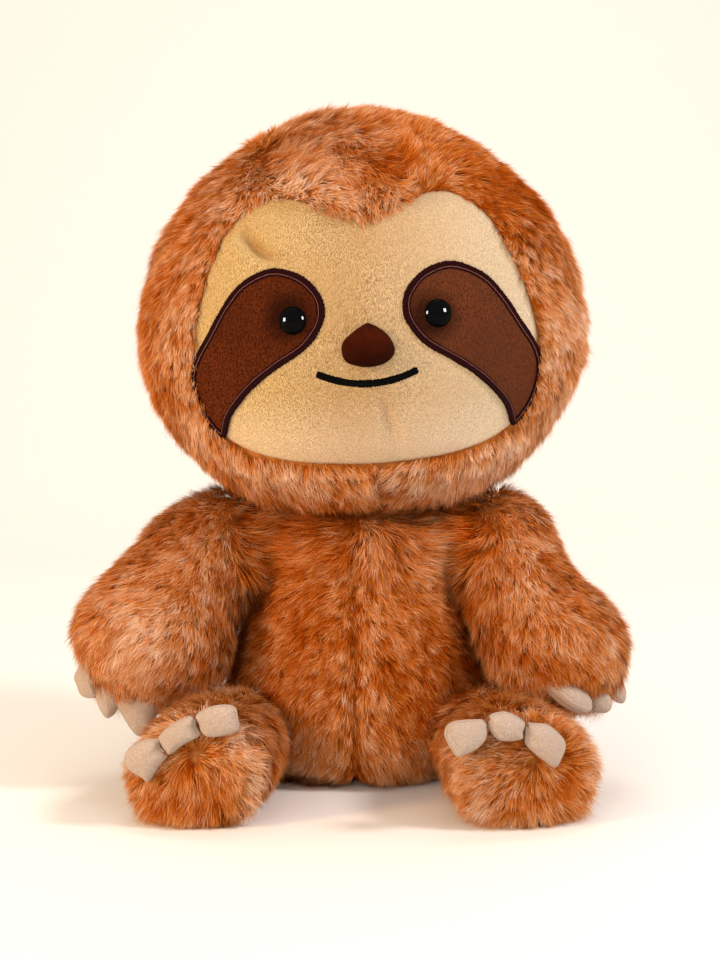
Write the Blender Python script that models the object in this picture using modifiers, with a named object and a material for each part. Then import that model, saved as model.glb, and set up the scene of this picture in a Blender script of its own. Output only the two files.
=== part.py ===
# Seated plush sloth with a big round head, a stitched face and sewn-on limbs.
# The toy faces -Y, +Z is up, and the origin lies under the torso on its seat.
# Left and right are the toy's own sides, so its left arm is at +X.
import math

import bmesh
import bpy
from mathutils import Matrix, Vector

MM = 0.001

# Fabric, fits and cuts
SKIN_THICKNESS = 8 * MM
LAYER_GAP = 0.3 * MM
JOINT_CLEARANCE = 0.5 * MM
SEAM_CLEARANCE = 0.2 * MM
SEAM_THICKNESS = 1.2 * MM
OVERRUN = 20 * MM
WELD_DISTANCE = 0.01 * MM
REST_CUT = 0.5 * MM

# Torso
TORSO_WIDTH = 108 * MM
TORSO_DEPTH = 102 * MM
TORSO_HEIGHT = 121 * MM
POUCH_HEIGHT = 36 * MM
# Height, width and depth of each section, from the neck down to the seat
TORSO_SHARES = [
    (1.00, 0.00, 0.00),
    (0.965, 0.50, 0.50),
    (0.89, 0.70, 0.66),
    (0.76, 0.79, 0.84),
    (0.56, 0.88, 0.95),
    (0.36, 1.00, 1.00),
    (0.17, 0.99, 0.985),
    (0.045, 0.86, 0.87),
    (0.00, 0.52, 0.52),
    (0.00, 0.00, 0.00),
]

# Neck, which the head turns and nods on
NECK_RADIUS = 30 * MM
NECK_SINK = 23 * MM
NECK_SEAM_ANGLES = (98, 108)

# Head
HEAD_WIDTH = 196 * MM
HEAD_DEPTH = 140 * MM
HEAD_HEIGHT = 176 * MM
HEAD_RISE = 21.5 * MM
HEAD_FORWARD = 2 * MM
HEAD_ROLL = -2.5
HEAD_YAW = 1.3
CROWN_POWER = 1.9
CHIN_POWER = 2.35

# Face
FACE_PANEL_DEPTH = 4.5 * MM
PATCH_THICKNESS = 1.2 * MM
STITCH_WIDTH = 2.3 * MM
STITCH_HEIGHT = 0.5 * MM
FACE_CUT_DEPTH = 60 * MM
# Half of the face's edge, from the dip in the brow down to the chin,
# in halves of the head's width and height
FACE_SHARES = [
    (0.000, 0.448),
    (0.143, 0.494),
    (0.306, 0.560),
    (0.439, 0.545),
    (0.551, 0.449),
    (0.633, 0.295),
    (0.704, 0.091),
    (0.755, -0.148),
    (0.743, -0.307),
    (0.699, -0.466),
    (0.622, -0.572),
    (0.490, -0.659),
    (0.286, -0.716),
    (0.000, -0.739),
]
# Edge of the dark patch round the left eye, in the same halves
PATCH_SHARES = [
    (0.376, 0.208),
    (0.255, 0.170),
    (0.179, 0.080),
    (0.163, -0.011),
    (0.189, -0.091),
    (0.255, -0.176),
    (0.378, -0.261),
    (0.485, -0.352),
    (0.571, -0.460),
    (0.614, -0.540),
    (0.679, -0.466),
    (0.724, -0.316),
    (0.712, -0.215),
    (0.653, -0.080),
    (0.584, 0.057),
    (0.502, 0.153),
]

# Eyes, nose and mouth
EYE_RADIUS = 6 * MM
EYE_DOME_HEIGHT = 4.2 * MM
EYE_RIM_HEIGHT = 0.8 * MM
EYE_STEM_RADIUS = 1.8 * MM
EYE_PLACE_SHARES = (0.309, -0.025)
WASHER_RADIUS = 8 * MM
WASHER_THICKNESS = 1.5 * MM
STEM_CLEARANCE = 0.4 * MM
NOSE_WIDTH = 23 * MM
NOSE_HEIGHT = 18.5 * MM
NOSE_DEPTH = 17 * MM
NOSE_PLACE_SHARE = -0.170
# Height, width and depth of the nose, a rounded triangle widest below its middle
NOSE_SHARES = [
    (0.50, 0.00, 0.00),
    (0.42, 0.50, 0.45),
    (0.20, 0.84, 0.85),
    (-0.10, 1.00, 1.00),
    (-0.32, 0.78, 0.85),
    (-0.45, 0.42, 0.50),
    (-0.50, 0.00, 0.00),
]
MOUTH_THREAD_RADIUS = 1 * MM
MOUTH_HALF_SHARE = 0.212
MOUTH_CORNER_SHARE = -0.288
MOUTH_SAG_SHARE = -0.341
MOUTH_STEPS = 16

# Arms, closed at the shoulder by a ball that sits in a shallow dish
ARM_ROOT_RADIUS = 25 * MM
ARM_REACH = 78.8 * MM
HAND_RADIUS = 30.5 * MM
SHOULDER_DROP = 19.5 * MM
SHOULDER_FORWARD = 6 * MM
SHOULDER_DISH = 3 * MM
SHOULDER_SEAM_ANGLES = (12, 22)
ARM_MOUTH_RADIUS = 4 * MM
ARM_SLOPES = {"right": (-0.600, -0.414, -0.683), "left": (0.435, -0.435, -0.787)}

# Along the limb, swelling from the root's size to the tip's, and rounding off
LIMB_ROOT_ANGLES = (0, 45, 90)
ARM_SHARES = [(0.26, 0.10, 1.0), (0.50, 0.95, 1.0), (0.74, 1.0, 1.0), (0.93, 1.0, 0.66), (1.0, 1.0, 0.0)]
LEG_SHARES = [(0.34, 0.30, 1.0), (0.62, 0.85, 1.0), (0.86, 1.0, 1.0), (0.985, 1.0, 0.76), (1.0, 1.0, 0.0)]

# Legs, stretched forward and splayed, with a flat round sole in front
LEG_ROOT_RADIUS = 20.5 * MM
LEG_REACH = 64 * MM
FOOT_WIDTH = 54 * MM
FOOT_HEIGHT = 46 * MM
SOLE_THICKNESS = 8 * MM
HIP_DISH = 8.5 * MM
HIP_BEARING = 38
HIP_SEAM_ANGLES = (24, 36)
LEG_SPLAYS = {"right": 11, "left": 15}

# Claws, small padded bags of suede
FOOT_CLAW_LENGTH = 18 * MM
FOOT_CLAW_WIDTH = 17 * MM
FOOT_CLAW_THICKNESS = 10 * MM
FOOT_CLAW_STAND_SHARE = 0.25
HAND_CLAW_LENGTH = 26 * MM
HAND_CLAW_WIDTH = 17 * MM
HAND_CLAW_THICKNESS = 11 * MM

# Length, width and thickness of a claw along its own length, root first
CLAW_SHARES = [
    (0.00, 0.00),
    (0.16, 0.80),
    (0.55, 1.00),
    (0.90, 0.55),
    (1.00, 0.00),
]
# Places are in hand radii from the middle of the hand, in world directions
HAND_CLAW_SHARES = {
    "right": [
        ((-0.86, -0.42, -0.62), (-0.45, -0.12, -0.88), (-0.5, -0.86, 0.0), 0.72),
        ((-0.56, -0.50, -0.86), (-0.28, -0.15, -0.95), (-0.3, -0.95, 0.1), 0.82),
        ((-0.06, -0.46, -1.02), (0.02, -0.15, -1.00), (0.0, -1.00, 0.15), 1.00),
    ],
    "left": [
        ((0.22, -0.74, -0.74), (0.84, 0.05, -0.54), (-0.45, 0.30, -0.84), 0.95),
        ((0.66, -0.50, -0.84), (0.80, -0.05, -0.60), (0.10, -0.99, 0.10), 0.60),
        ((0.90, 0.02, -0.70), (0.50, 0.15, -0.85), (0.80, -0.50, 0.20), 0.70),
    ],
}
# Places are in halves of the foot's width and height from the middle of the sole
FOOT_CLAW_SHARES = {
    "right": [
        ((-0.68, 0.30), (-0.25, -0.9)),
        ((-0.16, 0.72), (-0.15, -1.0)),
        ((0.38, 0.92), (0.10, -1.0)),
    ],
    "left": [
        ((-1.06, 0.62), (-0.25, -0.9)),
        ((-0.48, 0.80), (0.00, -1.0)),
        ((0.12, 0.55), (0.25, -0.9)),
    ],
}

# How finely each soft form is divided
HEAD_SEGMENTS = 12
HEAD_RINGS = 8
TORSO_SEGMENTS = 10
LIMB_SEGMENTS = 8
CLAW_SEGMENTS = 5
BALL_SEGMENTS = 24
EYE_DOME_STEPS = 5
SEAM_STEPS = 18
TURN_STEPS = 14
OUTLINE_STEPS = 2
SHARP_ANGLE = 50


def clear_scene():
    for thing in list(bpy.data.objects):
        bpy.data.objects.remove(thing)


def new_collection(name):
    collection = bpy.data.collections.new(name)
    bpy.context.scene.collection.children.link(collection)
    return collection


def make_material(name, color, roughness):
    material = bpy.data.materials.new(name)
    material.use_nodes = True
    shader = material.node_tree.nodes["Principled BSDF"]
    shader.inputs["Base Color"].default_value = (*color, 1)
    shader.inputs["Roughness"].default_value = roughness
    shader.inputs["Metallic"].default_value = 0
    return material


clear_scene()
toy = new_collection("plush_sloth")
cutters = new_collection("cutters")
fur = make_material("brown_fur_fabric", (0.46, 0.17, 0.05), 0.9)
cream = make_material("cream_velboa", (0.76, 0.52, 0.26), 0.85)
dark_brown = make_material("dark_brown_velboa", (0.10, 0.035, 0.015), 0.85)
maroon_thread = make_material("maroon_thread", (0.035, 0.008, 0.008), 0.6)
black_thread = make_material("black_thread", (0.008, 0.008, 0.008), 0.6)
brown_thread = make_material("brown_thread", (0.25, 0.09, 0.03), 0.7)
black_plastic = make_material("black_plastic", (0.004, 0.004, 0.004), 0.08)
white_plastic = make_material("white_plastic", (0.80, 0.80, 0.78), 0.4)
nose_suede = make_material("brown_suede", (0.09, 0.03, 0.015), 0.8)
claw_suede = make_material("beige_suede", (0.66, 0.47, 0.32), 0.8)
fibre = make_material("polyester_fibre", (0.86, 0.86, 0.84), 0.95)
pouch_cloth = make_material("white_cotton", (0.75, 0.73, 0.68), 0.9)


def add_object(name, mesh, collection, material=None, parent=None):
    thing = bpy.data.objects.new(name, mesh)
    collection.objects.link(thing)
    if material:
        mesh.materials.clear()
        mesh.materials.append(material)
    if parent:
        thing.parent = parent
    if collection is cutters:
        thing.hide_render = True
        thing.display_type = "WIRE"
    else:
        mesh.shade_smooth()
        mesh.set_sharp_from_angle(angle=math.radians(SHARP_ANGLE))
    return thing


# Turns an object with modifiers, or a curve, into one with a plain mesh
def settle(thing):
    bpy.context.view_layer.update()
    seen = thing.evaluated_get(bpy.context.evaluated_depsgraph_get())
    mesh = bpy.data.meshes.new_from_object(seen)
    shape = bmesh.new()
    shape.from_mesh(mesh)
    bmesh.ops.remove_doubles(shape, verts=shape.verts, dist=WELD_DISTANCE)
    shape.to_mesh(mesh)
    shape.free()
    mesh.transform(thing.matrix_world)
    bpy.data.objects.remove(thing)
    return mesh


# A ball of rings moved onto the given (height, half width, half depth) sections,
# smoothed once and stretched back to those sizes
def swollen_mesh(name, sections, segments):
    mesh = bpy.data.meshes.new(name)
    shape = bmesh.new()
    rings = len(sections) - 1
    bmesh.ops.create_uvsphere(shape, u_segments=segments, v_segments=rings, radius=1)
    for vertex in shape.verts:
        polar = math.acos(max(-1, min(1, vertex.co.z)))
        height, half_width, half_depth = sections[round(polar / math.pi * rings)]
        bearing = math.atan2(vertex.co.y, vertex.co.x)
        vertex.co = (math.cos(bearing) * half_width, math.sin(bearing) * half_depth, height)
    shape.to_mesh(mesh)
    shape.free()
    thing = bpy.data.objects.new(name, mesh)
    cutters.objects.link(thing)
    smooth = thing.modifiers.new("smooth", "SUBSURF")
    smooth.levels = 1
    smooth.render_levels = 1
    mesh = settle(thing)
    corners = [vertex.co for vertex in mesh.vertices]
    top = max(corner.z for corner in corners)
    bottom = min(corner.z for corner in corners)
    stretch_x = max(row[1] for row in sections) / max(corner.x for corner in corners)
    stretch_y = max(row[2] for row in sections) / max(corner.y for corner in corners)
    stretch_z = (sections[0][0] - sections[-1][0]) / (top - bottom)
    mesh.transform(Matrix.Translation((0, 0, -top)))
    mesh.transform(Matrix.Diagonal((stretch_x, stretch_y, stretch_z, 1)))
    mesh.transform(Matrix.Translation((0, 0, sections[0][0])))
    return mesh


# The head's form, sunk evenly below its outer surface
def head_mesh(depth):
    half_width = HEAD_WIDTH / 2 - depth
    half_depth = HEAD_DEPTH / 2 - depth
    half_height = HEAD_HEIGHT / 2 - depth
    sections = []
    for ring in range(HEAD_RINGS + 1):
        level = math.cos(math.pi * ring / HEAD_RINGS)
        power = CROWN_POWER if level > 0 else CHIN_POWER
        spread = max(0, 1 - abs(level) ** power) ** (1 / power)
        sections.append((level * half_height, spread * half_width, spread * half_depth))
    return swollen_mesh("head_form", sections, HEAD_SEGMENTS)


def torso_mesh(depth):
    sections = []
    for height_share, width_share, depth_share in TORSO_SHARES:
        height = -REST_CUT + height_share * (TORSO_HEIGHT + REST_CUT - 2 * depth) + depth
        half_width = width_share * (TORSO_WIDTH / 2 - depth)
        half_depth = depth_share * (TORSO_DEPTH / 2 - depth)
        sections.append((height, half_width, half_depth))
    return swollen_mesh("torso_form", sections, TORSO_SEGMENTS)


# A limb hangs along -Z from its root ball, which is centred on the joint
def limb_mesh(name, root_radius, reach, half_width, half_height, shares, depth):
    root = root_radius - depth
    sections = []
    for angle in LIMB_ROOT_ANGLES:
        turn = math.radians(angle)
        sections.append((root * math.cos(turn), root * math.sin(turn), root * math.sin(turn)))
    for along, swell, taper in shares:
        width = taper * ((1 - swell) * root + swell * (half_width - depth))
        height = taper * ((1 - swell) * root + swell * (half_height - depth))
        sections.append((-along * (reach - depth), width, height))
    return swollen_mesh(name, sections, LIMB_SEGMENTS)


def arm_mesh(depth):
    return limb_mesh("arm_form", ARM_ROOT_RADIUS, ARM_REACH, HAND_RADIUS, HAND_RADIUS, ARM_SHARES, depth)


def leg_mesh(depth):
    half_width = FOOT_WIDTH / 2
    half_height = FOOT_HEIGHT / 2
    return limb_mesh("leg_form", LEG_ROOT_RADIUS, LEG_REACH, half_width, half_height, LEG_SHARES, depth)


def ball_mesh(radius):
    mesh = bpy.data.meshes.new("ball")
    shape = bmesh.new()
    bmesh.ops.create_uvsphere(
        shape, u_segments=BALL_SEGMENTS, v_segments=BALL_SEGMENTS // 2, radius=radius)
    shape.to_mesh(mesh)
    shape.free()
    return mesh


# A ball cutter whose flat facets stay clear of everything inside the radius
def socket_mesh(radius):
    facet_share = math.cos(math.pi / BALL_SEGMENTS) ** 2
    return ball_mesh(radius / facet_share)


def block_mesh(low, high):
    mesh = bpy.data.meshes.new("block")
    shape = bmesh.new()
    bmesh.ops.create_cube(shape, size=1)
    size = Vector(high) - Vector(low)
    middle = (Vector(high) + Vector(low)) / 2
    bmesh.ops.transform(shape, matrix=Matrix.Diagonal((*size, 1)), verts=shape.verts)
    bmesh.ops.translate(shape, vec=middle, verts=shape.verts)
    shape.to_mesh(mesh)
    shape.free()
    return mesh


# A ring of (radius, height) points turned about Z
def turned_mesh(name, profile, steps, closed):
    mesh = bpy.data.meshes.new(name)
    points = [(radius, 0, height) for radius, height in profile]
    edges = [(index, index + 1) for index in range(len(points) - 1)]
    if closed:
        edges.append((len(points) - 1, 0))
    mesh.from_pydata(points, edges, [])
    thing = bpy.data.objects.new(name, mesh)
    cutters.objects.link(thing)
    screw = thing.modifiers.new("turn", "SCREW")
    screw.steps = steps
    screw.render_steps = steps
    screw.use_merge_vertices = True
    screw.merge_threshold = WELD_DISTANCE
    return settle(thing)


def cylinder_mesh(radius, low, high):
    profile = [(0, high), (radius, high), (radius, low), (0, low)]
    return turned_mesh("cylinder", profile, TURN_STEPS, closed=False)


# The inner radius of a faceted band of stitches that stays clear of its ball
def seam_radius(root_radius):
    return (root_radius + SEAM_CLEARANCE) / math.cos(math.pi / SEAM_STEPS)


def dish_radius(root_radius):
    return seam_radius(root_radius) + SEAM_THICKNESS + JOINT_CLEARANCE


# A band of stitches lying on a ball, between two angles from +Z
def band_mesh(name, root_radius, angles):
    profile = []
    radius = seam_radius(root_radius)
    outer = radius + SEAM_THICKNESS
    low, high = (math.radians(angle) for angle in angles)
    for distance, turn in ((outer, low), (outer, high), (radius, high), (radius, low)):
        profile.append((distance * math.sin(turn), distance * math.cos(turn)))
    return turned_mesh(name, profile, SEAM_STEPS, closed=True)


# A flat outline in head coordinates, drawn in or out, as a prism in front of the face
def face_prism(name, outline, offset):
    curve = bpy.data.curves.new(name, "CURVE")
    curve.dimensions = "2D"
    curve.fill_mode = "BOTH"
    curve.resolution_u = OUTLINE_STEPS
    curve.offset = offset
    curve.extrude = (FACE_CUT_DEPTH + OVERRUN) / 2
    spline = curve.splines.new("BEZIER")
    spline.bezier_points.add(len(outline) - 1)
    for point, place in zip(spline.bezier_points, outline):
        point.co = (*place, 0)
        point.handle_left_type = "AUTO"
        point.handle_right_type = "AUTO"
    spline.use_cyclic_u = True
    thing = bpy.data.objects.new(name, curve)
    cutters.objects.link(thing)
    mesh = settle(thing)
    mesh.transform(Matrix.Rotation(math.radians(90), 4, "X"))
    middle = (FACE_CUT_DEPTH - OVERRUN - HEAD_DEPTH) / 2
    mesh.transform(Matrix.Translation((0, middle, 0)))
    return mesh


def add_boolean(thing, cutter, operation):
    change = thing.modifiers.new(cutter.name, "BOOLEAN")
    change.operation = operation
    change.object = cutter


def add_cutter(name, mesh, parent, matrix=Matrix.Identity(4)):
    mesh.transform(matrix)
    return add_object(name, mesh, cutters, parent=parent)


def cut(thing, *tools):
    for tool in tools:
        add_boolean(thing, tool, "DIFFERENCE")
    return thing


def keep(thing, *tools):
    for tool in tools:
        add_boolean(thing, tool, "INTERSECT")
    return thing


def add_pivot(name, place):
    pivot = bpy.data.objects.new(name, None)
    pivot.location = place
    pivot.empty_display_size = NECK_RADIUS
    toy.objects.link(pivot)
    return pivot


# Where a torso section of this height has its edge
def torso_half_width(height):
    level = (height + REST_CUT) / (TORSO_HEIGHT + REST_CUT)
    for upper, lower in zip(TORSO_SHARES, TORSO_SHARES[1:]):
        if upper[0] >= level >= lower[0]:
            blend = (level - lower[0]) / (upper[0] - lower[0])
            return TORSO_WIDTH / 2 * (lower[1] + blend * (upper[1] - lower[1]))
    return TORSO_WIDTH / 2


# Joint centres
neck_place = Vector((0, 0, TORSO_HEIGHT - NECK_SINK))
head_place = neck_place + Vector((0, -HEAD_FORWARD, HEAD_RISE + HEAD_HEIGHT / 2))
shoulder_height = TORSO_HEIGHT - SHOULDER_DROP
shoulder_x = torso_half_width(shoulder_height) + dish_radius(ARM_ROOT_RADIUS) - SHOULDER_DISH
hip_reach = dish_radius(LEG_ROOT_RADIUS) - HIP_DISH
hip_turn = math.radians(HIP_BEARING)
hip_x = (TORSO_WIDTH / 2 + hip_reach) * math.cos(hip_turn)
hip_y = (TORSO_DEPTH / 2 + hip_reach) * math.sin(hip_turn)
hip_height = FOOT_HEIGHT / 2 - REST_CUT
SIDES = {"left": 1, "right": -1}

neck_pivot = add_pivot("neck_pivot", neck_place)
shoulder_pivots = {}
hip_pivots = {}
for side, sign in SIDES.items():
    shoulder_place = (sign * shoulder_x, -SHOULDER_FORWARD, shoulder_height)
    shoulder_pivots[side] = add_pivot("shoulder_pivot_" + side, shoulder_place)
    hip_pivots[side] = add_pivot("hip_pivot_" + side, (sign * hip_x, -hip_y, hip_height))

floor_cutter = add_cutter(
    "floor_cutter",
    block_mesh((-HEAD_WIDTH, -HEAD_WIDTH, -OVERRUN), (HEAD_WIDTH, HEAD_WIDTH, 0)), None)
neck_socket = add_cutter("neck_socket", socket_mesh(dish_radius(NECK_RADIUS)), neck_pivot)
head_socket = add_cutter("head_socket", socket_mesh(NECK_RADIUS + LAYER_GAP), neck_pivot)


def add_torso():
    dishes = [neck_socket]
    for side in SIDES:
        dishes.append(add_cutter(
            "shoulder_dish_" + side, socket_mesh(dish_radius(ARM_ROOT_RADIUS)), shoulder_pivots[side]))
        dishes.append(add_cutter(
            "hip_dish_" + side, socket_mesh(dish_radius(LEG_ROOT_RADIUS)), hip_pivots[side]))
    hollow = add_cutter("torso_hollow", torso_mesh(SKIN_THICKNESS), None)
    skin = add_object("torso_skin", torso_mesh(0), toy, fur)
    cut(skin, hollow, floor_cutter, *dishes)
    side = TORSO_WIDTH
    above = block_mesh((-side, -side, POUCH_HEIGHT), (side, side, TORSO_HEIGHT + OVERRUN))
    below = block_mesh((-side, -side, -OVERRUN), (side, side, POUCH_HEIGHT + LAYER_GAP))
    filling = SKIN_THICKNESS + LAYER_GAP
    stuffing = add_object("torso_stuffing", torso_mesh(filling), toy, fibre)
    cut(stuffing, add_cutter("pouch_space", below, None), *dishes)
    pouch = add_object("pellet_pouch", torso_mesh(filling), toy, pouch_cloth)
    cut(pouch, add_cutter("stuffing_space", above, None), *dishes[1:])


def add_neck():
    add_object("neck_stuffing", ball_mesh(NECK_RADIUS), toy, fibre, neck_pivot)
    seam = band_mesh("neck_seam", NECK_RADIUS, NECK_SEAM_ANGLES)
    add_object("neck_seam", seam, toy, brown_thread, neck_pivot)


# Head pieces are drawn round the head's centre, then rolled and turned as one
def seat_on_neck(thing):
    thing.location = head_place - neck_place
    thing.rotation_euler = (0, math.radians(HEAD_ROLL), math.radians(HEAD_YAW))
    return thing


def head_object(name, mesh, material):
    return seat_on_neck(add_object(name, mesh, toy, material, neck_pivot))


def head_cutter(name, mesh):
    return seat_on_neck(add_cutter(name, mesh, neck_pivot))


def in_head_halves(shares):
    return [(across * HEAD_WIDTH / 2, up * HEAD_HEIGHT / 2) for across, up in shares]


def mirrored(outline):
    return [(-across, up) for across, up in outline]


# The point of the face, and the way it looks there, seen straight from the front
def face_point(depth, across, up):
    mesh = head_mesh(depth)
    probe = bpy.data.objects.new("probe", mesh)
    cutters.objects.link(probe)
    bpy.context.view_layer.update()
    found, place, normal, _ = probe.ray_cast((across, -HEAD_DEPTH, up), (0, 1, 0))
    bpy.data.objects.remove(probe)
    return place, normal


def facing(place, normal):
    return Matrix.Translation(place) @ Vector((0, 0, 1)).rotation_difference(normal).to_matrix().to_4x4()


def add_eye(side, sign, panel, patch, stuffing):
    across = sign * EYE_PLACE_SHARES[0] * HEAD_WIDTH / 2
    up = EYE_PLACE_SHARES[1] * HEAD_HEIGHT / 2
    patch_depth = FACE_PANEL_DEPTH - LAYER_GAP - PATCH_THICKNESS
    place, normal = face_point(patch_depth, across, up)
    frame = facing(place, normal)
    seat = 2 * LAYER_GAP
    stem = patch_depth - SKIN_THICKNESS - 2 * LAYER_GAP
    washer_top = stem - LAYER_GAP
    stem_end = washer_top - 2 * WASHER_THICKNESS
    profile = [(0, seat + EYE_RIM_HEIGHT + EYE_DOME_HEIGHT)]
    for step in range(1, EYE_DOME_STEPS + 1):
        turn = math.pi / 2 * step / EYE_DOME_STEPS
        profile.append((
            EYE_RADIUS * math.sin(turn), seat + EYE_RIM_HEIGHT + EYE_DOME_HEIGHT * math.cos(turn)))
    profile += [(EYE_RADIUS, seat), (EYE_STEM_RADIUS, seat), (EYE_STEM_RADIUS, stem_end), (0, stem_end)]
    eye = turned_mesh("eye_" + side, profile, TURN_STEPS, closed=False)
    eye.transform(frame)
    head_object("eye_" + side, eye, black_plastic)
    hole = EYE_STEM_RADIUS + STEM_CLEARANCE
    washer = [(hole, washer_top), (WASHER_RADIUS, washer_top)]
    washer += [(radius, washer_top - WASHER_THICKNESS) for radius in (WASHER_RADIUS, hole)]
    ring = turned_mesh("eye_washer_" + side, washer, TURN_STEPS, closed=True)
    ring.transform(frame)
    head_object("eye_washer_" + side, ring, white_plastic)
    bore = head_cutter("stem_bore_" + side, cylinder_mesh(hole, -OVERRUN, OVERRUN))
    bore.data.transform(frame)
    pocket_floor = stem_end - LAYER_GAP
    pocket = cylinder_mesh(WASHER_RADIUS + STEM_CLEARANCE, pocket_floor, OVERRUN)
    pocket.transform(frame)
    cut(panel, bore)
    cut(patch, bore)
    cut(stuffing, head_cutter("washer_pocket_" + side, pocket))


def add_patch(side, sign):
    outline = in_head_halves(PATCH_SHARES)
    if sign < 0:
        outline = mirrored(outline)[::-1]
    back = FACE_PANEL_DEPTH - LAYER_GAP
    front = back - PATCH_THICKNESS
    under = head_cutter("patch_back_" + side, head_mesh(back))
    inner = head_cutter("patch_edge_" + side, face_prism("patch", outline, -STITCH_WIDTH - LAYER_GAP))
    patch = head_object("eye_patch_" + side, head_mesh(front), dark_brown)
    keep(patch, inner)
    cut(patch, under)
    outer = head_cutter("stitch_edge_" + side, face_prism("stitch", outline, 0))
    space = head_cutter("patch_space_" + side, face_prism("space", outline, -STITCH_WIDTH))
    stitching = head_object("eye_patch_stitching_" + side, head_mesh(front - STITCH_HEIGHT), maroon_thread)
    keep(stitching, outer)
    cut(stitching, space, under)
    return patch


def add_nose():
    place, normal = face_point(FACE_PANEL_DEPTH, 0, NOSE_PLACE_SHARE * HEAD_HEIGHT / 2)
    sections = []
    for up, wide, deep in NOSE_SHARES:
        sections.append((up * NOSE_HEIGHT, wide * NOSE_WIDTH / 2, deep * NOSE_DEPTH / 2))
    nose = swollen_mesh("nose", sections, LIMB_SEGMENTS)
    nose.transform(Matrix.Translation(place))
    cut(head_object("nose", nose, nose_suede),
        head_cutter("nose_seat", head_mesh(FACE_PANEL_DEPTH - LAYER_GAP)))


def add_mouth():
    curve = bpy.data.curves.new("mouth", "CURVE")
    curve.dimensions = "3D"
    curve.bevel_depth = MOUTH_THREAD_RADIUS
    curve.bevel_resolution = 2
    curve.use_fill_caps = True
    spline = curve.splines.new("POLY")
    spline.points.add(MOUTH_STEPS)
    lift = FACE_PANEL_DEPTH - LAYER_GAP - MOUTH_THREAD_RADIUS
    for index, point in enumerate(spline.points):
        along = 2 * index / MOUTH_STEPS - 1
        up_share = MOUTH_SAG_SHARE + (MOUTH_CORNER_SHARE - MOUTH_SAG_SHARE) * along ** 2
        across = along * MOUTH_HALF_SHARE * HEAD_WIDTH / 2
        place, _ = face_point(lift, across, up_share * HEAD_HEIGHT / 2)
        point.co = (*place, 1)
    thing = bpy.data.objects.new("mouth", curve)
    cutters.objects.link(thing)
    head_object("mouth_stitching", settle(thing), black_thread)


def add_head():
    outline = in_head_halves(FACE_SHARES)
    outline += mirrored(outline)[-2:0:-1]
    window = head_cutter("face_window", face_prism("window", outline[::-1], 0))
    panel_edge = head_cutter("panel_edge", face_prism("panel", outline[::-1], -LAYER_GAP))
    hollow = head_cutter("head_hollow", head_mesh(SKIN_THICKNESS))
    skin = head_object("head_skin", head_mesh(0), fur)
    cut(skin, hollow, window, head_socket)
    stuffing = head_object("head_stuffing", head_mesh(SKIN_THICKNESS + LAYER_GAP), fibre)
    cut(stuffing, head_socket)
    panel = head_object("face_panel", head_mesh(FACE_PANEL_DEPTH), cream)
    keep(panel, panel_edge)
    cut(panel, hollow)
    for side, sign in SIDES.items():
        patch = add_patch(side, sign)
        add_eye(side, sign, panel, patch, stuffing)
    add_nose()
    add_mouth()


def claw_mesh(name, length, width, thickness):
    sections = []
    for along, swell in CLAW_SHARES:
        sections.append(((0.5 - along) * length, swell * width / 2, swell * thickness / 2))
    return swollen_mesh(name, sections, CLAW_SEGMENTS)


# Stands a claw at a place, pointing one way with its flat side facing another
def claw_frame(place, pointing, outward):
    down = -Vector(pointing).normalized()
    across = down.cross(Vector(outward)).normalized()
    through = down.cross(across)
    frame = Matrix((across, through, down)).transposed().to_4x4()
    return Matrix.Translation(place) @ frame


# The outer claws of a row lie whole, and the middle one is pressed between them
def add_claws(name, claws, pivot, clear):
    neighbours = []
    for number in (1, 3, 2):
        size, frame = claws[number - 1]
        claw = add_object(name + "_" + str(number), claw_mesh(name, *size), toy, claw_suede, pivot)
        claw.data.transform(frame)
        cut(claw, clear)
        if number == 2:
            cut(claw, *neighbours)
        wider = [length + 2 * LAYER_GAP for length in size]
        space = claw_mesh(name, *wider)
        neighbours.append(add_cutter(name + "_space_" + str(number), space, pivot, frame))


def add_arm(side):
    pivot = shoulder_pivots[side]
    slope = Vector(ARM_SLOPES[side]).normalized()
    turn = Vector((0, 0, -1)).rotation_difference(slope).to_matrix().to_4x4()
    hollow = add_cutter("arm_hollow_" + side, arm_mesh(SKIN_THICKNESS), pivot, turn)
    sign = SIDES[side]
    inward = Vector((0, 0, 1)).rotation_difference(Vector((-sign, 0, 0))).to_matrix().to_4x4()
    mouth = cylinder_mesh(ARM_MOUTH_RADIUS, 0, ARM_ROOT_RADIUS + OVERRUN)
    opening = add_cutter("arm_mouth_" + side, mouth, pivot, inward)
    skin = add_object("arm_skin_" + side, bake_mesh(arm_mesh(0), turn), toy, fur, pivot)
    cut(skin, hollow, opening)
    add_object(
        "arm_stuffing_" + side, bake_mesh(arm_mesh(SKIN_THICKNESS + LAYER_GAP), turn), toy, fibre, pivot)
    seam = band_mesh("shoulder_seam_" + side, ARM_ROOT_RADIUS, SHOULDER_SEAM_ANGLES)
    seam.transform(inward)
    add_object("shoulder_seam_" + side, seam, toy, brown_thread, pivot)
    clear = add_cutter("hand_clearance_" + side, arm_mesh(-LAYER_GAP), pivot, turn)
    hand = slope * (ARM_REACH - HAND_RADIUS)
    claws = []
    for place, pointing, outward, share in HAND_CLAW_SHARES[side]:
        size = (share * HAND_CLAW_LENGTH, share * HAND_CLAW_WIDTH, share * HAND_CLAW_THICKNESS)
        claws.append((size, claw_frame(hand + Vector(place) * HAND_RADIUS, pointing, outward)))
    add_claws("hand_claw_" + side, claws, pivot, clear)


def bake_mesh(mesh, matrix):
    mesh.transform(matrix)
    return mesh


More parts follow.
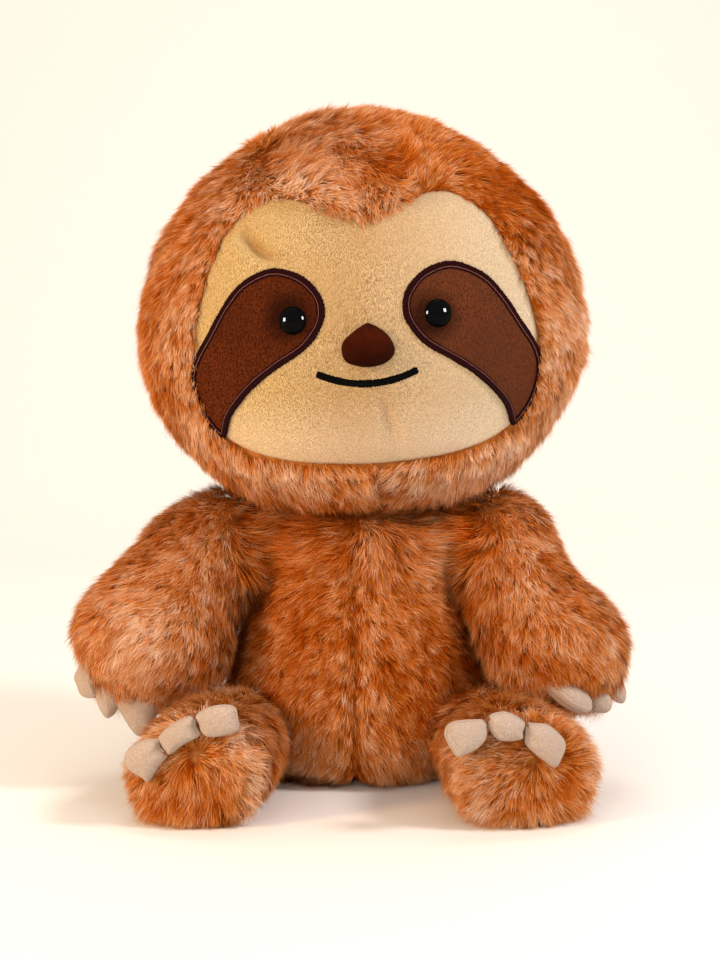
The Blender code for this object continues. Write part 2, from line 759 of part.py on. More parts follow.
def add_leg(side):
    pivot = hip_pivots[side]
    sign = SIDES[side]
    splay = math.radians(LEG_SPLAYS[side])
    slope = Vector((sign * math.sin(splay), -math.cos(splay), 0))
    across = Vector((math.cos(splay), sign * math.sin(splay), 0))
    turn = Matrix((-across, Vector((0, 0, 1)), -slope)).transposed().to_4x4()
    hollow = add_cutter("leg_hollow_" + side, leg_mesh(SKIN_THICKNESS), pivot, turn)
    wide = FOOT_WIDTH
    cut_at = -LEG_REACH + SOLE_THICKNESS
    front = add_cutter(
        "foot_front_" + side,
        block_mesh((-wide, -wide, -LEG_REACH - OVERRUN), (wide, wide, cut_at + LAYER_GAP)), pivot, turn)
    behind = add_cutter(
        "foot_behind_" + side, block_mesh((-wide, -wide, cut_at), (wide, wide, LEG_REACH)), pivot, turn)
    skin = add_object("leg_skin_" + side, bake_mesh(leg_mesh(0), turn), toy, fur, pivot)
    cut(skin, hollow, front, floor_cutter)
    sole = add_object("foot_sole_" + side, bake_mesh(leg_mesh(0), turn), toy, fur, pivot)
    cut(sole, behind, floor_cutter)
    filling = leg_mesh(SKIN_THICKNESS + LAYER_GAP)
    add_object("leg_stuffing_" + side, bake_mesh(filling, turn), toy, fibre, pivot)
    seam = band_mesh("hip_seam_" + side, LEG_ROOT_RADIUS, HIP_SEAM_ANGLES)
    inward = Vector((-sign * math.cos(hip_turn), math.sin(hip_turn), 0))
    seam.transform(Vector((0, 0, 1)).rotation_difference(inward).to_matrix().to_4x4())
    add_object("hip_seam_" + side, seam, toy, brown_thread, pivot)
    clear = add_cutter("foot_clearance_" + side, leg_mesh(-LAYER_GAP), pivot, turn)
    sole_middle = slope * (LEG_REACH + FOOT_CLAW_STAND_SHARE * FOOT_CLAW_THICKNESS)
    claws = []
    for place, pointing in FOOT_CLAW_SHARES[side]:
        spot = sole_middle + across * place[0] * FOOT_WIDTH / 2
        spot += Vector((0, 0, place[1] * FOOT_HEIGHT / 2))
        way = across * pointing[0] + Vector((0, 0, pointing[1]))
        size = (FOOT_CLAW_LENGTH, FOOT_CLAW_WIDTH, FOOT_CLAW_THICKNESS)
        claws.append((size, claw_frame(spot, way, slope)))
    add_claws("foot_claw_" + side, claws, pivot, clear)


add_torso()
add_neck()
add_head()
for side in SIDES:
    add_arm(side)
    add_leg(side)
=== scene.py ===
# Seated plush sloth: long pile fur, a velboa face with sewn patches, plastic eyes, suede nose and claws.
# The toy looks along -Y and its own left is at +X. Settings are in mm and degrees, objects in metres.
import math

import bmesh
import bpy
import numpy as np
from mathutils import Matrix, Vector
from mathutils.bvhtree import BVHTree


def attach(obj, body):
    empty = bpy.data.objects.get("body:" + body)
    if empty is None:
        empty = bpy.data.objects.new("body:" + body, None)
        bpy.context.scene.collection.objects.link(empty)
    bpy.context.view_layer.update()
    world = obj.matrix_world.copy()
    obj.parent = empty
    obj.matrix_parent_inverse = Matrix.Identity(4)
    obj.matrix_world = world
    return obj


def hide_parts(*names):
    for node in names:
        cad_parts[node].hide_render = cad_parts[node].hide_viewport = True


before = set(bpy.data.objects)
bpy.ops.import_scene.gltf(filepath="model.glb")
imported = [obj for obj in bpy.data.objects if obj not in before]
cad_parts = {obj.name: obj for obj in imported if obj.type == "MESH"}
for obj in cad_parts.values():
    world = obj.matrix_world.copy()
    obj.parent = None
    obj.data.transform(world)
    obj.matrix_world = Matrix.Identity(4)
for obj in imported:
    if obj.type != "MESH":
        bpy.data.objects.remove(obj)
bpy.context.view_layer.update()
bpy.ops.object.select_all(action="DESELECT")
mm = 0.001

# How every coat of fur grows
fur = {
    "backingDepth": 2.0,        # how far the woven backing lies inside the CAD skin
    "lockArea": 3.2,            # skin that one lock of pile covers
    "strandsPerLock": 20,
    "lockRadius": 1.9,
    "strandWidth": 0.30,
    "length": 9.4,
    "startLift": 50,            # steep at the root, laid over at the tip
    "endLift": 12,
    "lockSpread": {"turn": 0.15, "length": 0.06, "lift": 6, "tone": 0.13},
    "strandSpread": {"turn": 0.20, "lift": 0.12, "roll": 0.30, "tone": 0.12},
    "shortShare": 0.28,
    "strandsPerPiece": 120000,
    "seed": 7,
}

torso = {
    "size": (108, 102, 121),
    "sections": [(1.0, 0.0, 0.0), (0.965, 0.50, 0.50), (0.89, 0.70, 0.66), (0.76, 0.79, 0.84),
                 (0.56, 0.88, 0.95), (0.36, 1.0, 1.0), (0.17, 0.99, 0.985), (0.045, 0.86, 0.87),
                 (0.0, 0.52, 0.52), (0.0, 0.0, 0.0)],
    "segments": 10,
    # the side that swells, the height, the spread and the amount
    "swells": [((-1, 0, 0), 44, 24, 4.0), ((1, 0, 0), 38, 24, 1.5), ((0, -1, 0), 0, 14, 5.0)],
    "seamX": -2.0,
    "seamGap": 0.9,
    "seamDepth": 2.4,
    # lighter or darker fur, partly painted sheen and shade: across and up from the floor, radius, and how much
    "blots": [(-30, 100, 20, -0.07), (-22, 62, 20, -0.06), (-8, 35, 12, 0.12), (32, 62, 20, -0.10),
              (25, 95, 20, 0.08)],
}

neck = {"place": (0, 0, 98), "radius": 30, "pile": 8.0, "tone": 0.25}

head = {
    "size": (196, 140, 176),
    "place": (0, -2, 207.5),
    "roll": -2.5,
    "yaw": 1.3,
    "crown": 1.9,
    "chin": 2.35,
    "segments": 12,
    "rings": 8,
    "chinSeamX": 5.0,
    "chinSeamDepth": 1.8,
    # how the pile is brushed above the face: across, up, and the way it lies, in the head's own mm
    "flow": [(-30, 68, 0.75, -0.65), (-10, 73, 0.55, -0.80), (5, 63, 0.75, -0.60), (-25, 53, 0.90, -0.40),
             (-10, 45, 0.85, -0.45), (5, 45, -0.30, -0.80), (15, 55, 0.60, -0.60), (25, 57, 0.0, 1.0),
             (20, 62, -0.3, 0.9), (31, 60, 0.5, 0.9), (40, 47, 0.90, -0.35), (50, 40, 0.70, -0.70),
             (40, 66, 0.80, 0.30), (60, 53, 0.70, 0.0), (70, 40, 0.35, -0.60), (10, 80, 0.80, 0.20),
             (-20, 80, 0.30, 0.60), (-50, 62, 0.10, -0.80), (-47, 50, 0.0, -0.90), (-60, 32, -0.30, -0.90)],
    "flowReach": 8.5,
    # where the stuffing swells or sinks: across, up, radius and amount in the head's own mm
    "bulges": [(-78, 48, 34, -2.5), (-50, 78, 24, -1.5), (88, 38, 26, -0.5), (62, 66, 30, -2.5),
               (96, -22, 22, 1.5), (-15, -88, 36, 2.5), (-94, 16, 18, -1.8)],
    "blots": [(-25, 266, 24, 0.18), (-2, 260, 18, -0.10), (92, 215, 26, 0.12), (60, 260, 28, -0.32),
              (30, 128, 26, 0.14), (-62, 256, 18, -0.04), (70, 140, 24, 0.20), (88, 180, 20, 0.16),
              (-70, 150, 20, 0.04)],
}

face = {
    "depth": 4.1,
    # half of the edge from the brow's dip to the chin, in halves of the head's width and height
    "edge": [(0.0, 0.448), (0.143, 0.494), (0.306, 0.560), (0.439, 0.545), (0.551, 0.449), (0.633, 0.295),
             (0.704, 0.091), (0.755, -0.148), (0.748, -0.307), (0.708, -0.475), (0.630, -0.597),
             (0.492, -0.683), (0.286, -0.735), (0.0, -0.752)],
    "centre": (0.0, -0.12),
    "edgeSteps": 240,
    "puff": 0.7,
    "tuck": 2.6,
    # the brow's fold on the toy's right: where it starts, the way it runs, its depth and half its width
    "fold": {"start": (-49.7, 33.7), "way": (16.9 / 22.7, -15.1 / 22.7), "depth": 4.6, "half": 2.6},
    # the soft crease over the chin
    "crease": {"place": (8.5, -46), "depth": 1.8, "half": 3.4, "tall": 11},
    "eyeBed": 2.6,
}

patches = {
    "edge": [(0.376, 0.208), (0.255, 0.170), (0.179, 0.080), (0.163, -0.011), (0.189, -0.091),
             (0.255, -0.176), (0.378, -0.261), (0.485, -0.352), (0.576, -0.470), (0.622, -0.585),
             (0.707, -0.480), (0.750, -0.330), (0.735, -0.215), (0.662, -0.080), (0.584, 0.057),
             (0.502, 0.153)],
    "centre": (0.46, -0.13),
    "edgeSteps": 220,
    "height": 1.9,
    "satin": {"width": 3.4, "height": 0.9, "pitch": 0.55, "lift": 1.4},
}

eyes = {
    "place": {"left": (30.3, -2.7), "right": (-29.0, -3.2)},
    "radius": 6.0, "dome": 4.2, "rim": 0.8, "lift": 0.4,
    "forward": 0.7,             # how far each bead turns from the cloth's normal towards the front
}

nose = {
    # a rounded triangle in the head's own mm
    "outline": [(1.1, -5.4), (3.7, -6.3), (6.5, -8.0), (8.9, -10.0), (10.7, -12.4), (11.8, -15.0),
                (12.2, -16.6), (11.7, -18.7), (10.3, -20.6), (8.4, -21.9), (6.1, -22.9), (2.7, -23.5),
                (-1.1, -23.5), (-5.1, -22.5), (-7.6, -21.5), (-9.1, -19.7), (-9.8, -17.2), (-9.8, -15.0),
                (-9.1, -12.8), (-7.1, -10.7), (-4.5, -8.6), (-2.0, -6.9)],
    "front": 10.5,
    "back": 5.0,
}

mouth = {
    "half": 0.212, "corner": -0.288, "sag": -0.343, "shift": 0.4,
    "satin": {"width": 3.3, "height": 0.9, "pitch": 0.6, "lift": 0.9},
}

# A row of satin stitch: corners round it, its height along each thread, and how far the needle runs at a time
satin = {"around": 12, "groove": (0.80, 0.97, 1.0, 0.97), "run": 5.8}

arms = {
    "root": 25, "reach": 78.8, "hand": 30.5,
    "shares": [(0.26, 0.10, 1.0), (0.50, 0.95, 1.0), (0.74, 1.0, 1.0), (0.93, 1.0, 0.66), (1.0, 1.0, 0.0)],
    "shoulder": (63.976, -6.0, 101.5),
    "slope": {"right": (-0.600, -0.414, -0.683), "left": (0.435, -0.435, -0.787)},
    # how the stuffing sags: place along the arm, spread, and amount on its inner and outer side
    "sag": {"right": [(0.66, 0.26, 10.5, 0.0), (0.10, 0.16, 0.0, 3.0), (0.58, 0.20, 0.0, -3.3)],
            "left": [(0.30, 0.22, 0.0, -6.5), (0.55, 0.20, 0.0, -2.5), (0.75, 0.20, 1.0, 0.0)]},
    "clawThick": 11,
    # how far the pile hides each claw's root
    "cover": {"right": (0.7, 0.6, 0.1), "left": (-0.55, 0.0, 0.9)},
    # place in hand radii from the hand's middle, the way it points, the way its flat side looks, its thickness
    "claws": {
        "right": [((-0.86, -0.32, -0.62), (-0.45, -0.12, -0.88), (-0.5, -0.86, 0.0), 0.72),
                  ((-0.56, -0.42, -0.86), (-0.28, -0.15, -0.95), (-0.3, -0.95, 0.1), 0.82),
                  ((-0.06, -0.56, -1.02), (0.02, -0.15, -1.00), (0.0, -1.00, 0.15), 1.00)],
        "left": [((0.11, -0.82, -0.62), (0.84, 0.05, -0.54), (-0.45, 0.30, -0.84), 0.95),
                 ((0.66, -0.50, -0.84), (0.80, -0.05, -0.60), (0.10, -0.99, 0.10), 0.60),
                 ((0.90, 0.02, -0.70), (0.50, 0.15, -0.85), (0.80, -0.50, 0.20), 0.70)],
    },
    "blots": {"left": [(72, 98, 16, 0.20), (82, 60, 22, 0.06), (60, 122, 18, -0.10)],
              "right": [(-90, 80, 22, 0.20), (-98, 60, 16, 0.14), (-66, 114, 18, 0.10)]},
}

legs = {
    "root": 20.5, "reach": 64, "foot": (54, 46),
    "shares": [(0.34, 0.30, 1.0), (0.62, 0.85, 1.0), (0.86, 1.0, 1.0), (0.985, 1.0, 0.76), (1.0, 1.0, 0.0)],
    "hip": (53.758, -40.153, 22.5),
    "splay": {"right": 11, "left": 15},
    "swell": {"right": (4.0, -1.5), "left": (2.5, 3.0)},    # of the foot, on its outer and inner side
    "clawThick": 10,
    "clawStand": 2.5,
    # place in halves of the foot's width and height, and the way it points
    "claws": {
        "right": [((-0.68, 0.30), (-0.25, -0.9)), ((-0.16, 0.72), (-0.15, -1.0)), ((0.38, 0.92), (0.10, -1.0))],
        "left": [((-1.06, 0.62), (-0.25, -0.9)), ((-0.48, 0.80), (0.00, -1.0)), ((0.12, 0.55), (0.25, -0.9))],
    },
    "blots": [(-60, 30, 20, 0.06), (62, 12, 20, 0.06)],
}

# Each claw as cut: across and up, in mm from its middle, seen from its flat side
clawOutlines = {
    "hand_right": [
        [(-5.2, -3.0), (-1.9, -6.5), (2.2, -9.3), (6.2, -8.9), (9.2, -6.4), (7.6, -3.0), (7.0, 1.0),
         (3.0, 8.0), (-3.5, 7.0)],
        [(-5.1, -1.8), (-3.0, -5.6), (0.0, -9.0), (3.4, -11.0), (5.9, -8.6), (6.8, -5.2), (7.1, -1.4),
         (4.5, 8.0), (-3.8, 8.0)],
        [(-10.4, 0.5), (-8.6, -3.7), (-5.5, -9.0), (-2.4, -12.8), (1.3, -13.9), (4.0, -11.3), (6.2, -6.1),
         (8.1, -0.4), (8.4, 3.3), (5.2, 10.0), (-3.1, 10.7), (-8.6, 5.6)]],
    "hand_left": [
        [(-6.4, -8.0), (-2.5, -12.4), (2.5, -12.4), (6.4, -8.0), (7.6, -2.0), (5.8, 5.0), (2.6, 11.0),
         (0.0, 14.2), (-2.6, 11.0), (-5.8, 5.0), (-7.6, -2.0)],
        [(0.3, 6.2), (3.0, 3.8), (4.6, -0.2), (2.6, -3.2), (-0.1, -4.4), (-3.0, -3.0), (-5.1, 1.3),
         (-4.0, 4.4)],
        [(-3.6, 7.0), (3.4, 7.2), (5.4, 1.0), (4.0, -5.0), (0.8, -8.6), (-1.8, -8.2), (-4.6, -4.0),
         (-5.6, 2.0)]],
    "foot_right": [
        [(-9.5, -3.6), (-8.7, 0.8), (-5.3, 4.5), (0.2, 7.5), (2.4, 7.9), (3.7, 5.4), (7.0, 3.6), (7.0, 1.3),
         (5.0, -3.0), (2.7, -10.0), (-0.1, -9.4), (-5.7, -8.1), (-8.2, -6.3)],
        [(-9.5, -3.2), (-7.0, 1.0), (-2.1, 5.5), (3.5, 8.7), (4.8, 6.8), (5.2, 4.4), (7.4, 1.3), (5.4, -0.9),
         (0.9, -4.5), (-4.0, -9.4), (-5.7, -8.3), (-8.1, -5.7)],
        [(-8.9, 4.1), (-4.6, 6.4), (0.5, 7.6), (5.9, 7.3), (8.1, 5.7), (8.4, 2.3), (8.4, -2.1), (6.2, -3.9),
         (2.2, -4.7), (-1.9, -5.1), (-5.3, -4.3), (-7.1, -2.2), (-7.7, 1.2)]],
    "foot_left": [
        [(-11.5, 2.0), (-10.8, 5.6), (-7.3, 7.9), (-1.5, 9.6), (3.5, 10.5), (4.8, 8.0), (5.8, 5.2), (5.3, 2.1),
         (3.1, -1.3), (-0.7, -4.3), (-3.9, -6.1), (-6.4, -4.3), (-9.3, -1.5)],
        [(-8.5, 5.6), (-6.0, 7.4), (-1.4, 7.9), (2.6, 6.6), (6.7, 3.8), (7.3, 2.3), (6.3, -0.6), (6.3, -3.1),
         (3.7, -3.9), (-1.9, -3.8), (-4.9, -2.4), (-7.5, 1.2)],
        [(-5.9, 10.4), (-2.0, 9.1), (2.8, 6.9), (5.9, 2.8), (7.8, -1.5), (7.4, -4.5), (4.6, -8.2),
         (1.2, -11.0), (-2.1, -7.5), (-6.0, -2.0), (-8.2, 2.4), (-7.5, 6.3)]],
}
sides = {"left": 1, "right": -1}


# Small sums

# A rounded hump, 1 high at its middle
def hump(values, middle, spread):
    return np.exp(-((values - middle) / spread) ** 2)


# A share that climbs from 0 to 1 between two values
def climb(values, start, end):
    return np.clip((values - start) / (end - start), 0, 1)


def unit(vectors):
    return vectors / np.maximum(np.linalg.norm(vectors, axis=-1, keepdims=True), 1e-9)


# Materials

def linear(code):
    parts = [int(code[i:i + 2], 16) / 255 for i in (0, 2, 4)]
    return [c / 12.92 if c <= 0.04045 else ((c + 0.055) / 1.055) ** 2.4 for c in parts] + [1.0]


def newMaterial(name):
    material = bpy.data.materials.new(name)
    material.use_nodes = True
    return material, material.node_tree.nodes["Principled BSDF"]


def setInputs(material, node, values):
    for socket, value in values.items():
        if isinstance(value, bpy.types.NodeSocket):
            material.node_tree.links.new(value, node.inputs[socket])
        else:
            node.inputs[socket].default_value = value


def addNode(material, kind, inputs, **settings):
    node = material.node_tree.nodes.new(kind)
    for key, value in settings.items():
        setattr(node, key, value)
    setInputs(material, node, inputs)
    return node


def objectSpot(material):
    return addNode(material, "ShaderNodeTexCoord", {}).outputs["Object"]


def split(material, vector):
    return addNode(material, "ShaderNodeSeparateXYZ", {"Vector": vector}).outputs


def noise(material, vector, scale, detail, roughness=0.5):
    return addNode(material, "ShaderNodeTexNoise", {
        "Vector": vector, "Scale": scale, "Detail": detail, "Roughness": roughness}).outputs["Fac"]


# Moves a value from the span between start and end to the one between low and high
def respan(material, value, start, end, low=0.0, high=1.0):
    return addNode(material, "ShaderNodeMapRange", {
        "Value": value, "From Min": start, "From Max": end, "To Min": low, "To Max": high}).outputs["Result"]


def compute(material, operation, *values):
    return addNode(material, "ShaderNodeMath", dict(enumerate(values)), operation=operation).outputs[0]


def blend(material, share, first, second, way="MIX"):
    return addNode(material, "ShaderNodeMix", {
        0: share, 6: first, 7: second}, data_type="RGBA", blend_type=way).outputs[2]


def relief(material, height, strength, distance):
    return addNode(material, "ShaderNodeBump", {
        "Height": height, "Strength": strength, "Distance": distance}).outputs["Normal"]


# Acrylic plush pile: fine fibres that let light through, rust towards the root and pale at the tip. This is partly
# the fibres' own colour, partly a painted highlight at the tips and painted shade at the roots.
# The strands' own UV holds the tone across and the place from root to tip upwards
def makeFurMaterial(name, tones):
    material, shader = newMaterial(name)
    uv = addNode(material, "ShaderNodeUVMap", {}, uv_map="OFBake").outputs["UV"]
    parts = split(material, uv)
    # the tone climbs from root to tip: the fibres' own paler tips and a painted highlight
    fade = respan(material, parts["Y"], 0.1, 0.9, -0.40, 0.12)
    tone = compute(material, "ADD", parts["X"], fade)
    ramp = addNode(material, "ShaderNodeValToRGB", {"Fac": tone})
    stops = ramp.color_ramp.elements
    for place, code in tones[1:-1]:
        stops.new(place).color = linear(code)
    stops[0].color = linear(tones[0][1])
    stops[-1].color = linear(tones[-1][1])
    # painted shade: the colour darkens towards the root, deep in the pile
    depth = respan(material, parts["Y"], 0.0, 0.7, 0.82, 1.0)
    shadow = blend(material, 1.0, ramp.outputs["Color"], depth, "MULTIPLY")
    lay = addNode(material, "ShaderNodeAttribute", {}, attribute_name="pileNormal")
    facing = addNode(material, "ShaderNodeVectorTransform", {"Vector": lay.outputs["Vector"]},
                     vector_type="NORMAL", convert_from="OBJECT", convert_to="WORLD")
    setInputs(material, shader, {
        "Base Color": shadow, "Roughness": 0.6, "Specular IOR Level": 0.03, "Normal": facing.outputs["Vector"]})
    flatSide = addNode(material, "ShaderNodeNewGeometry", {}).outputs["True Normal"]
    through = addNode(material, "ShaderNodeBsdfTranslucent", {"Color": shadow, "Normal": flatSide})
    fibre = addNode(material, "ShaderNodeMixShader", {0: 0.4, 1: shader.outputs[0], 2: through.outputs[0]})
    addNode(material, "ShaderNodeOutputMaterial", {"Surface": fibre.outputs[0]}, is_active_output=True)
    return material


# Velboa: a short dense polyester pile, so a soft matt face with fine mottling, brushed one way
def makeVelboa(name, dark, light, edge, stretch, sheen):
    material, shader = newMaterial(name)
    spot = objectSpot(material)
    brushed = addNode(material, "ShaderNodeMapping", {"Vector": spot, "Scale": stretch}).outputs["Vector"]
    fine = noise(material, brushed, 1.0, 3.0, 0.75)
    mixed = blend(material, respan(material, fine, 0.36, 0.64), linear(dark), linear(light))
    broad = respan(material, noise(material, spot, 28.0, 2.0), 0.35, 0.7, 0.0, 0.5)
    setInputs(material, shader, {
        "Base Color": blend(material, broad, mixed, linear(edge)), "Normal": relief(material, fine, 0.5, 0.0006),
        "Roughness": 0.85, "Specular IOR Level": 0.06, "Sheen Weight": sheen, "Sheen Roughness": 0.45})
    return material


# Rayon embroidery thread in satin stitch, with a painted highlight along one ridge line
def makeThread(name, dark, light):
    material, shader = newMaterial(name)
    uv = addNode(material, "ShaderNodeUVMap", {}, uv_map="OFBake").outputs["UV"]
    # painted highlight: a thin lighter line along each thread's ridge
    ridge = compute(material, "COMPARE", split(material, uv)["Y"], 0.16, 0.014)
    wearAndHighlight = compute(material, "MULTIPLY", ridge, noise(material, uv, 90.0, 1.0))
    setInputs(material, shader, {
        "Base Color": blend(material, wearAndHighlight, linear(dark), linear(light)),
        "Roughness": 0.6, "Specular IOR Level": 0.06})
    return material


# Microsuede: brushed nap with a fine dry grain and slightly darker hollows
def makeSuede(name, dark, light, wearAndHighlight, specular, sheen):
    material, shader = newMaterial(name)
    spot = objectSpot(material)
    fine = noise(material, spot, 1300.0, 5.0, 0.65)
    mixed = blend(material, fine, linear(dark), linear(light))
    nap = respan(material, noise(material, spot, 110.0, 3.0), 0.4, 0.7, 0.0, 0.7)
    setInputs(material, shader, {
        "Base Color": blend(material, nap, mixed, linear(wearAndHighlight)), "Normal": relief(material, fine, 0.3, 0.0004),
        "Roughness": 0.8, "Specular IOR Level": specular, "Sheen Weight": sheen, "Sheen Roughness": 0.5})
    return material


# Plain materials: two close tones mixed by a fine grain
def makePlain(name, dark, light, grain, roughness, detail=4.0, specular=0.5, height=0.4):
    material, shader = newMaterial(name)
    fine = noise(material, objectSpot(material), grain, detail)
    setInputs(material, shader, {
        "Base Color": blend(material, fine, linear(dark), linear(light)), "Roughness": roughness,
        "Specular IOR Level": specular})
    if height:
        setInputs(material, shader, {"Normal": relief(material, fine, height, 0.0008)})
    return material


# Blends a colour over what the material already shows
def tint(material, share, code, way):
    shader = material.node_tree.nodes["Principled BSDF"]
    plain = shader.inputs["Base Color"].links[0].from_socket
    setInputs(material, shader, {"Base Color": blend(material, share, plain, linear(code), way)})


# A share that runs between two places along one axis of the toy
def between(material, axis, start, end, high=1.0):
    return respan(material, split(material, objectSpot(material))[axis], start, end, 0.0, high)


coatMaterial = makeFurMaterial("acrylicPlushPile", [
    (0.0, "A44400"), (0.20, "C46208"), (0.40, "D98838"), (0.58, "E6AA70"), (0.76, "F0C6A2"), (1.0, "FBE4D0")])
# Knitted polyester backing under the pile, dyed like the pile's roots
backingMaterial = makePlain("dyedKnitBacking", "9A5824", "BE7C40", 900.0, 0.9, 2.0, 0.1, 0)

# Painted light makes the face's pile paler on both cheeks and at the chin, and painted shade darkens it where the
# cloth folds
faceMaterial = makeVelboa("creamVelboa", "6E512E", "D6B98B", "AE8B5E", (2500, 2500, 950), 0.08)
tint(faceMaterial, between(faceMaterial, "X", 0.0, 0.070), "6C7776", "ADD")
tint(faceMaterial, between(faceMaterial, "Z", 0.172, 0.152), "6C6965", "ADD")
tint(faceMaterial, between(faceMaterial, "X", -0.010, -0.040), "3F3700", "ADD")
paintedFoldShade = addNode(faceMaterial, "ShaderNodeAttribute", {}, attribute_name="paintedFoldShade").outputs["Fac"]
tint(faceMaterial, compute(faceMaterial, "MULTIPLY", paintedFoldShade, 0.42), "9A6428", "MIX")

# Painted shade darkens the patches' pile round the eyes, and painted light makes the patch on the toy's left paler
patchMaterial = makeVelboa("darkBrownVelboa", "200602", "682F10", "3A1808", (1800, 1800, 900), 0.0)
tint(patchMaterial, between(patchMaterial, "X", 0.0, 0.03), "271C14", "ADD")
mirrored = addNode(patchMaterial, "ShaderNodeVectorMath", {0: objectSpot(patchMaterial)}, operation="ABSOLUTE")
flatSpot = addNode(patchMaterial, "ShaderNodeVectorMath", {0: mirrored.outputs[0], 1: (1, 0, 1)},
                   operation="MULTIPLY")
fromEye = addNode(patchMaterial, "ShaderNodeVectorMath", {0: flatSpot.outputs[0], 1: (0.0296, 0, 0.2046)},
                  operation="DISTANCE")
# painted shade, darkest next to each eye
paintedEyeShade = respan(patchMaterial, fromEye.outputs["Value"], 0.006, 0.013, 0.75, 0.0)
tint(patchMaterial, paintedEyeShade, "180602", "MIX")

maroonThread = makeThread("maroonRayonThread", "200607", "A26E6C")
blackThread = makeThread("blackRayonThread", "030303", "0E0D0D")
# Twisted polyester sewing thread
brownThread, shader = newMaterial("brownSewingThread")
twist = addNode(brownThread, "ShaderNodeTexWave", {
    "Vector": objectSpot(brownThread), "Scale": 600.0, "Distortion": 1.0})
setInputs(brownThread, shader, {
    "Base Color": blend(brownThread, twist.outputs["Fac"], linear("6E3A18"), linear("8E5226")),
    "Roughness": 0.6})

clawMaterial = makeSuede("beigeMicrosuede", "786859", "D6C2B4", "AA9585", 0.1, 0.08)
# The nose is darker underneath: painted shade
noseMaterial = makeSuede("brownMicrosuede", "160500", "501C0A", "260B04", 0.03, 0.0)
tint(noseMaterial, between(noseMaterial, "Z", 0.196, 0.184, 0.75), "140401", "MIX")

# Injection moulded polystyrene eyes, polished black
eyeMaterial, shader = newMaterial("polishedBlackPlastic")
haze = respan(eyeMaterial, noise(eyeMaterial, objectSpot(eyeMaterial), 700.0, 3.0), 0.4, 0.8, 0.04, 0.08)
setInputs(eyeMaterial, shader, {"Base Color": linear("010101"), "Roughness": haze, "Specular IOR Level": 0.03})

# Inside: crimped polyester fibre, moulded washers, woven cotton
fibreMaterial = makePlain("crimpedPolyesterFibre", "D8D8D4", "F4F4F0", 260.0, 0.95)
washerMaterial = makePlain("mouldedNaturalPolypropylene", "D8D8D2", "E6E6E0", 500.0, 0.4)
pouchMaterial = makePlain("wovenCotton", "C9C6BC", "E0DDD2", 800.0, 0.9)
print("materials made")


# Forms

def finishPiece(thing, name, body, material, replaces=()):
    thing.name = name
    thing.data.name = name
    thing.data.materials.clear()
    thing.data.materials.append(material)
    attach(thing, body)
    if replaces:
        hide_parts(*replaces)
    bpy.ops.object.select_all(action="DESELECT")


# Makes an object of a shape drawn in mm, placed by the matrix
def makeObject(shape, matrix):
    bpy.ops.mesh.primitive_circle_add(vertices=3)
    thing = bpy.context.object
    shape.to_mesh(thing.data)
    shape.free()
    thing.data.transform(matrix @ Matrix.Scale(mm, 4))
    bpy.ops.object.shade_smooth()
    return thing


# Faces round a middle, through rings of vertices that run out from it
def joinRings(shape, middle, rings):
    count = len(rings[0])
    for step in range(count):
        after = (step + 1) % count
        shape.faces.new((middle, rings[0][step], rings[0][after]))
        for inner, outer in zip(rings, rings[1:]):
            shape.faces.new((inner[step], outer[step], outer[after], inner[after]))


# A stuffed form: a ball whose rings are pulled to (height, half width, half depth), then subdivided
def stuffedForm(sections, segments, matrix, levels=4):
    rings = len(sections) - 1
    bpy.ops.mesh.primitive_uv_sphere_add(segments=segments, ring_count=rings, radius=1)
    thing = bpy.context.object
    for vertex in thing.data.vertices:
        polar = math.acos(max(-1, min(1, vertex.co.z)))
        height, halfWidth, halfDepth = sections[round(polar / math.pi * rings)]
        bearing = math.atan2(vertex.co.y, vertex.co.x)
        vertex.co = (math.cos(bearing) * halfWidth, math.sin(bearing) * halfDepth, height)
    swell = thing.modifiers.new("swell", "SUBSURF")
    swell.levels = swell.render_levels = levels
    bpy.ops.object.modifier_apply(modifier="swell")
    # subdividing shrinks the form, so it is stretched back to its size
    spots = np.array([v.co for v in thing.data.vertices])
    top, bottom = spots[:, 2].max(), spots[:, 2].min()
    stretch = [max(row[1] for row in sections) / spots[:, 0].max(),
               max(row[2] for row in sections) / spots[:, 1].max(),
               (sections[0][0] - sections[-1][0]) / (top - bottom)]
    thing.data.transform(Matrix.Translation((0, 0, -top)))
    thing.data.transform(Matrix.Diagonal((*stretch, 1)))
    thing.data.transform(matrix @ Matrix.Scale(mm, 4) @ Matrix.Translation((0, 0, sections[0][0])))
    thing.data.update()
    bpy.ops.object.shade_smooth()
    return thing


def headSections(depth):
    halves = [size / 2 - depth for size in head["size"]]
    rows = []
    for ring in range(head["rings"] + 1):
        level = math.cos(math.pi * ring / head["rings"])
        power = head["crown"] if level > 0 else head["chin"]
        spread = max(0, 1 - abs(level) ** power) ** (1 / power)
        rows.append((level * halves[2], spread * halves[0], spread * halves[1]))
    return rows


def torsoSections(depth):
    width, deep, tall = torso["size"]
    seat = -0.5                 # where the skin's lowest point would lie, in mm from the floor
    return [(seat + up * (tall - seat - 2 * depth) + depth, across * (width / 2 - depth),
             through * (deep / 2 - depth)) for up, across, through in torso["sections"]]


def limbSections(root, reach, halfWidth, halfHeight, shares, depth):
    ball = root - depth
    rows = []
    for angle in (0, 45, 90):
        turn = math.radians(angle)
        rows.append((ball * math.cos(turn), ball * math.sin(turn), ball * math.sin(turn)))
    for along, swell, taper in shares:
        rows.append((-along * (reach - depth), taper * ((1 - swell) * ball + swell * (halfWidth - depth)),
                     taper * ((1 - swell) * ball + swell * (halfHeight - depth))))
    return rows


def columns(across, through, up, place):
    turn = Matrix((across, through, up)).transposed().to_4x4()
    return Matrix.Translation(Vector(place) * mm) @ turn


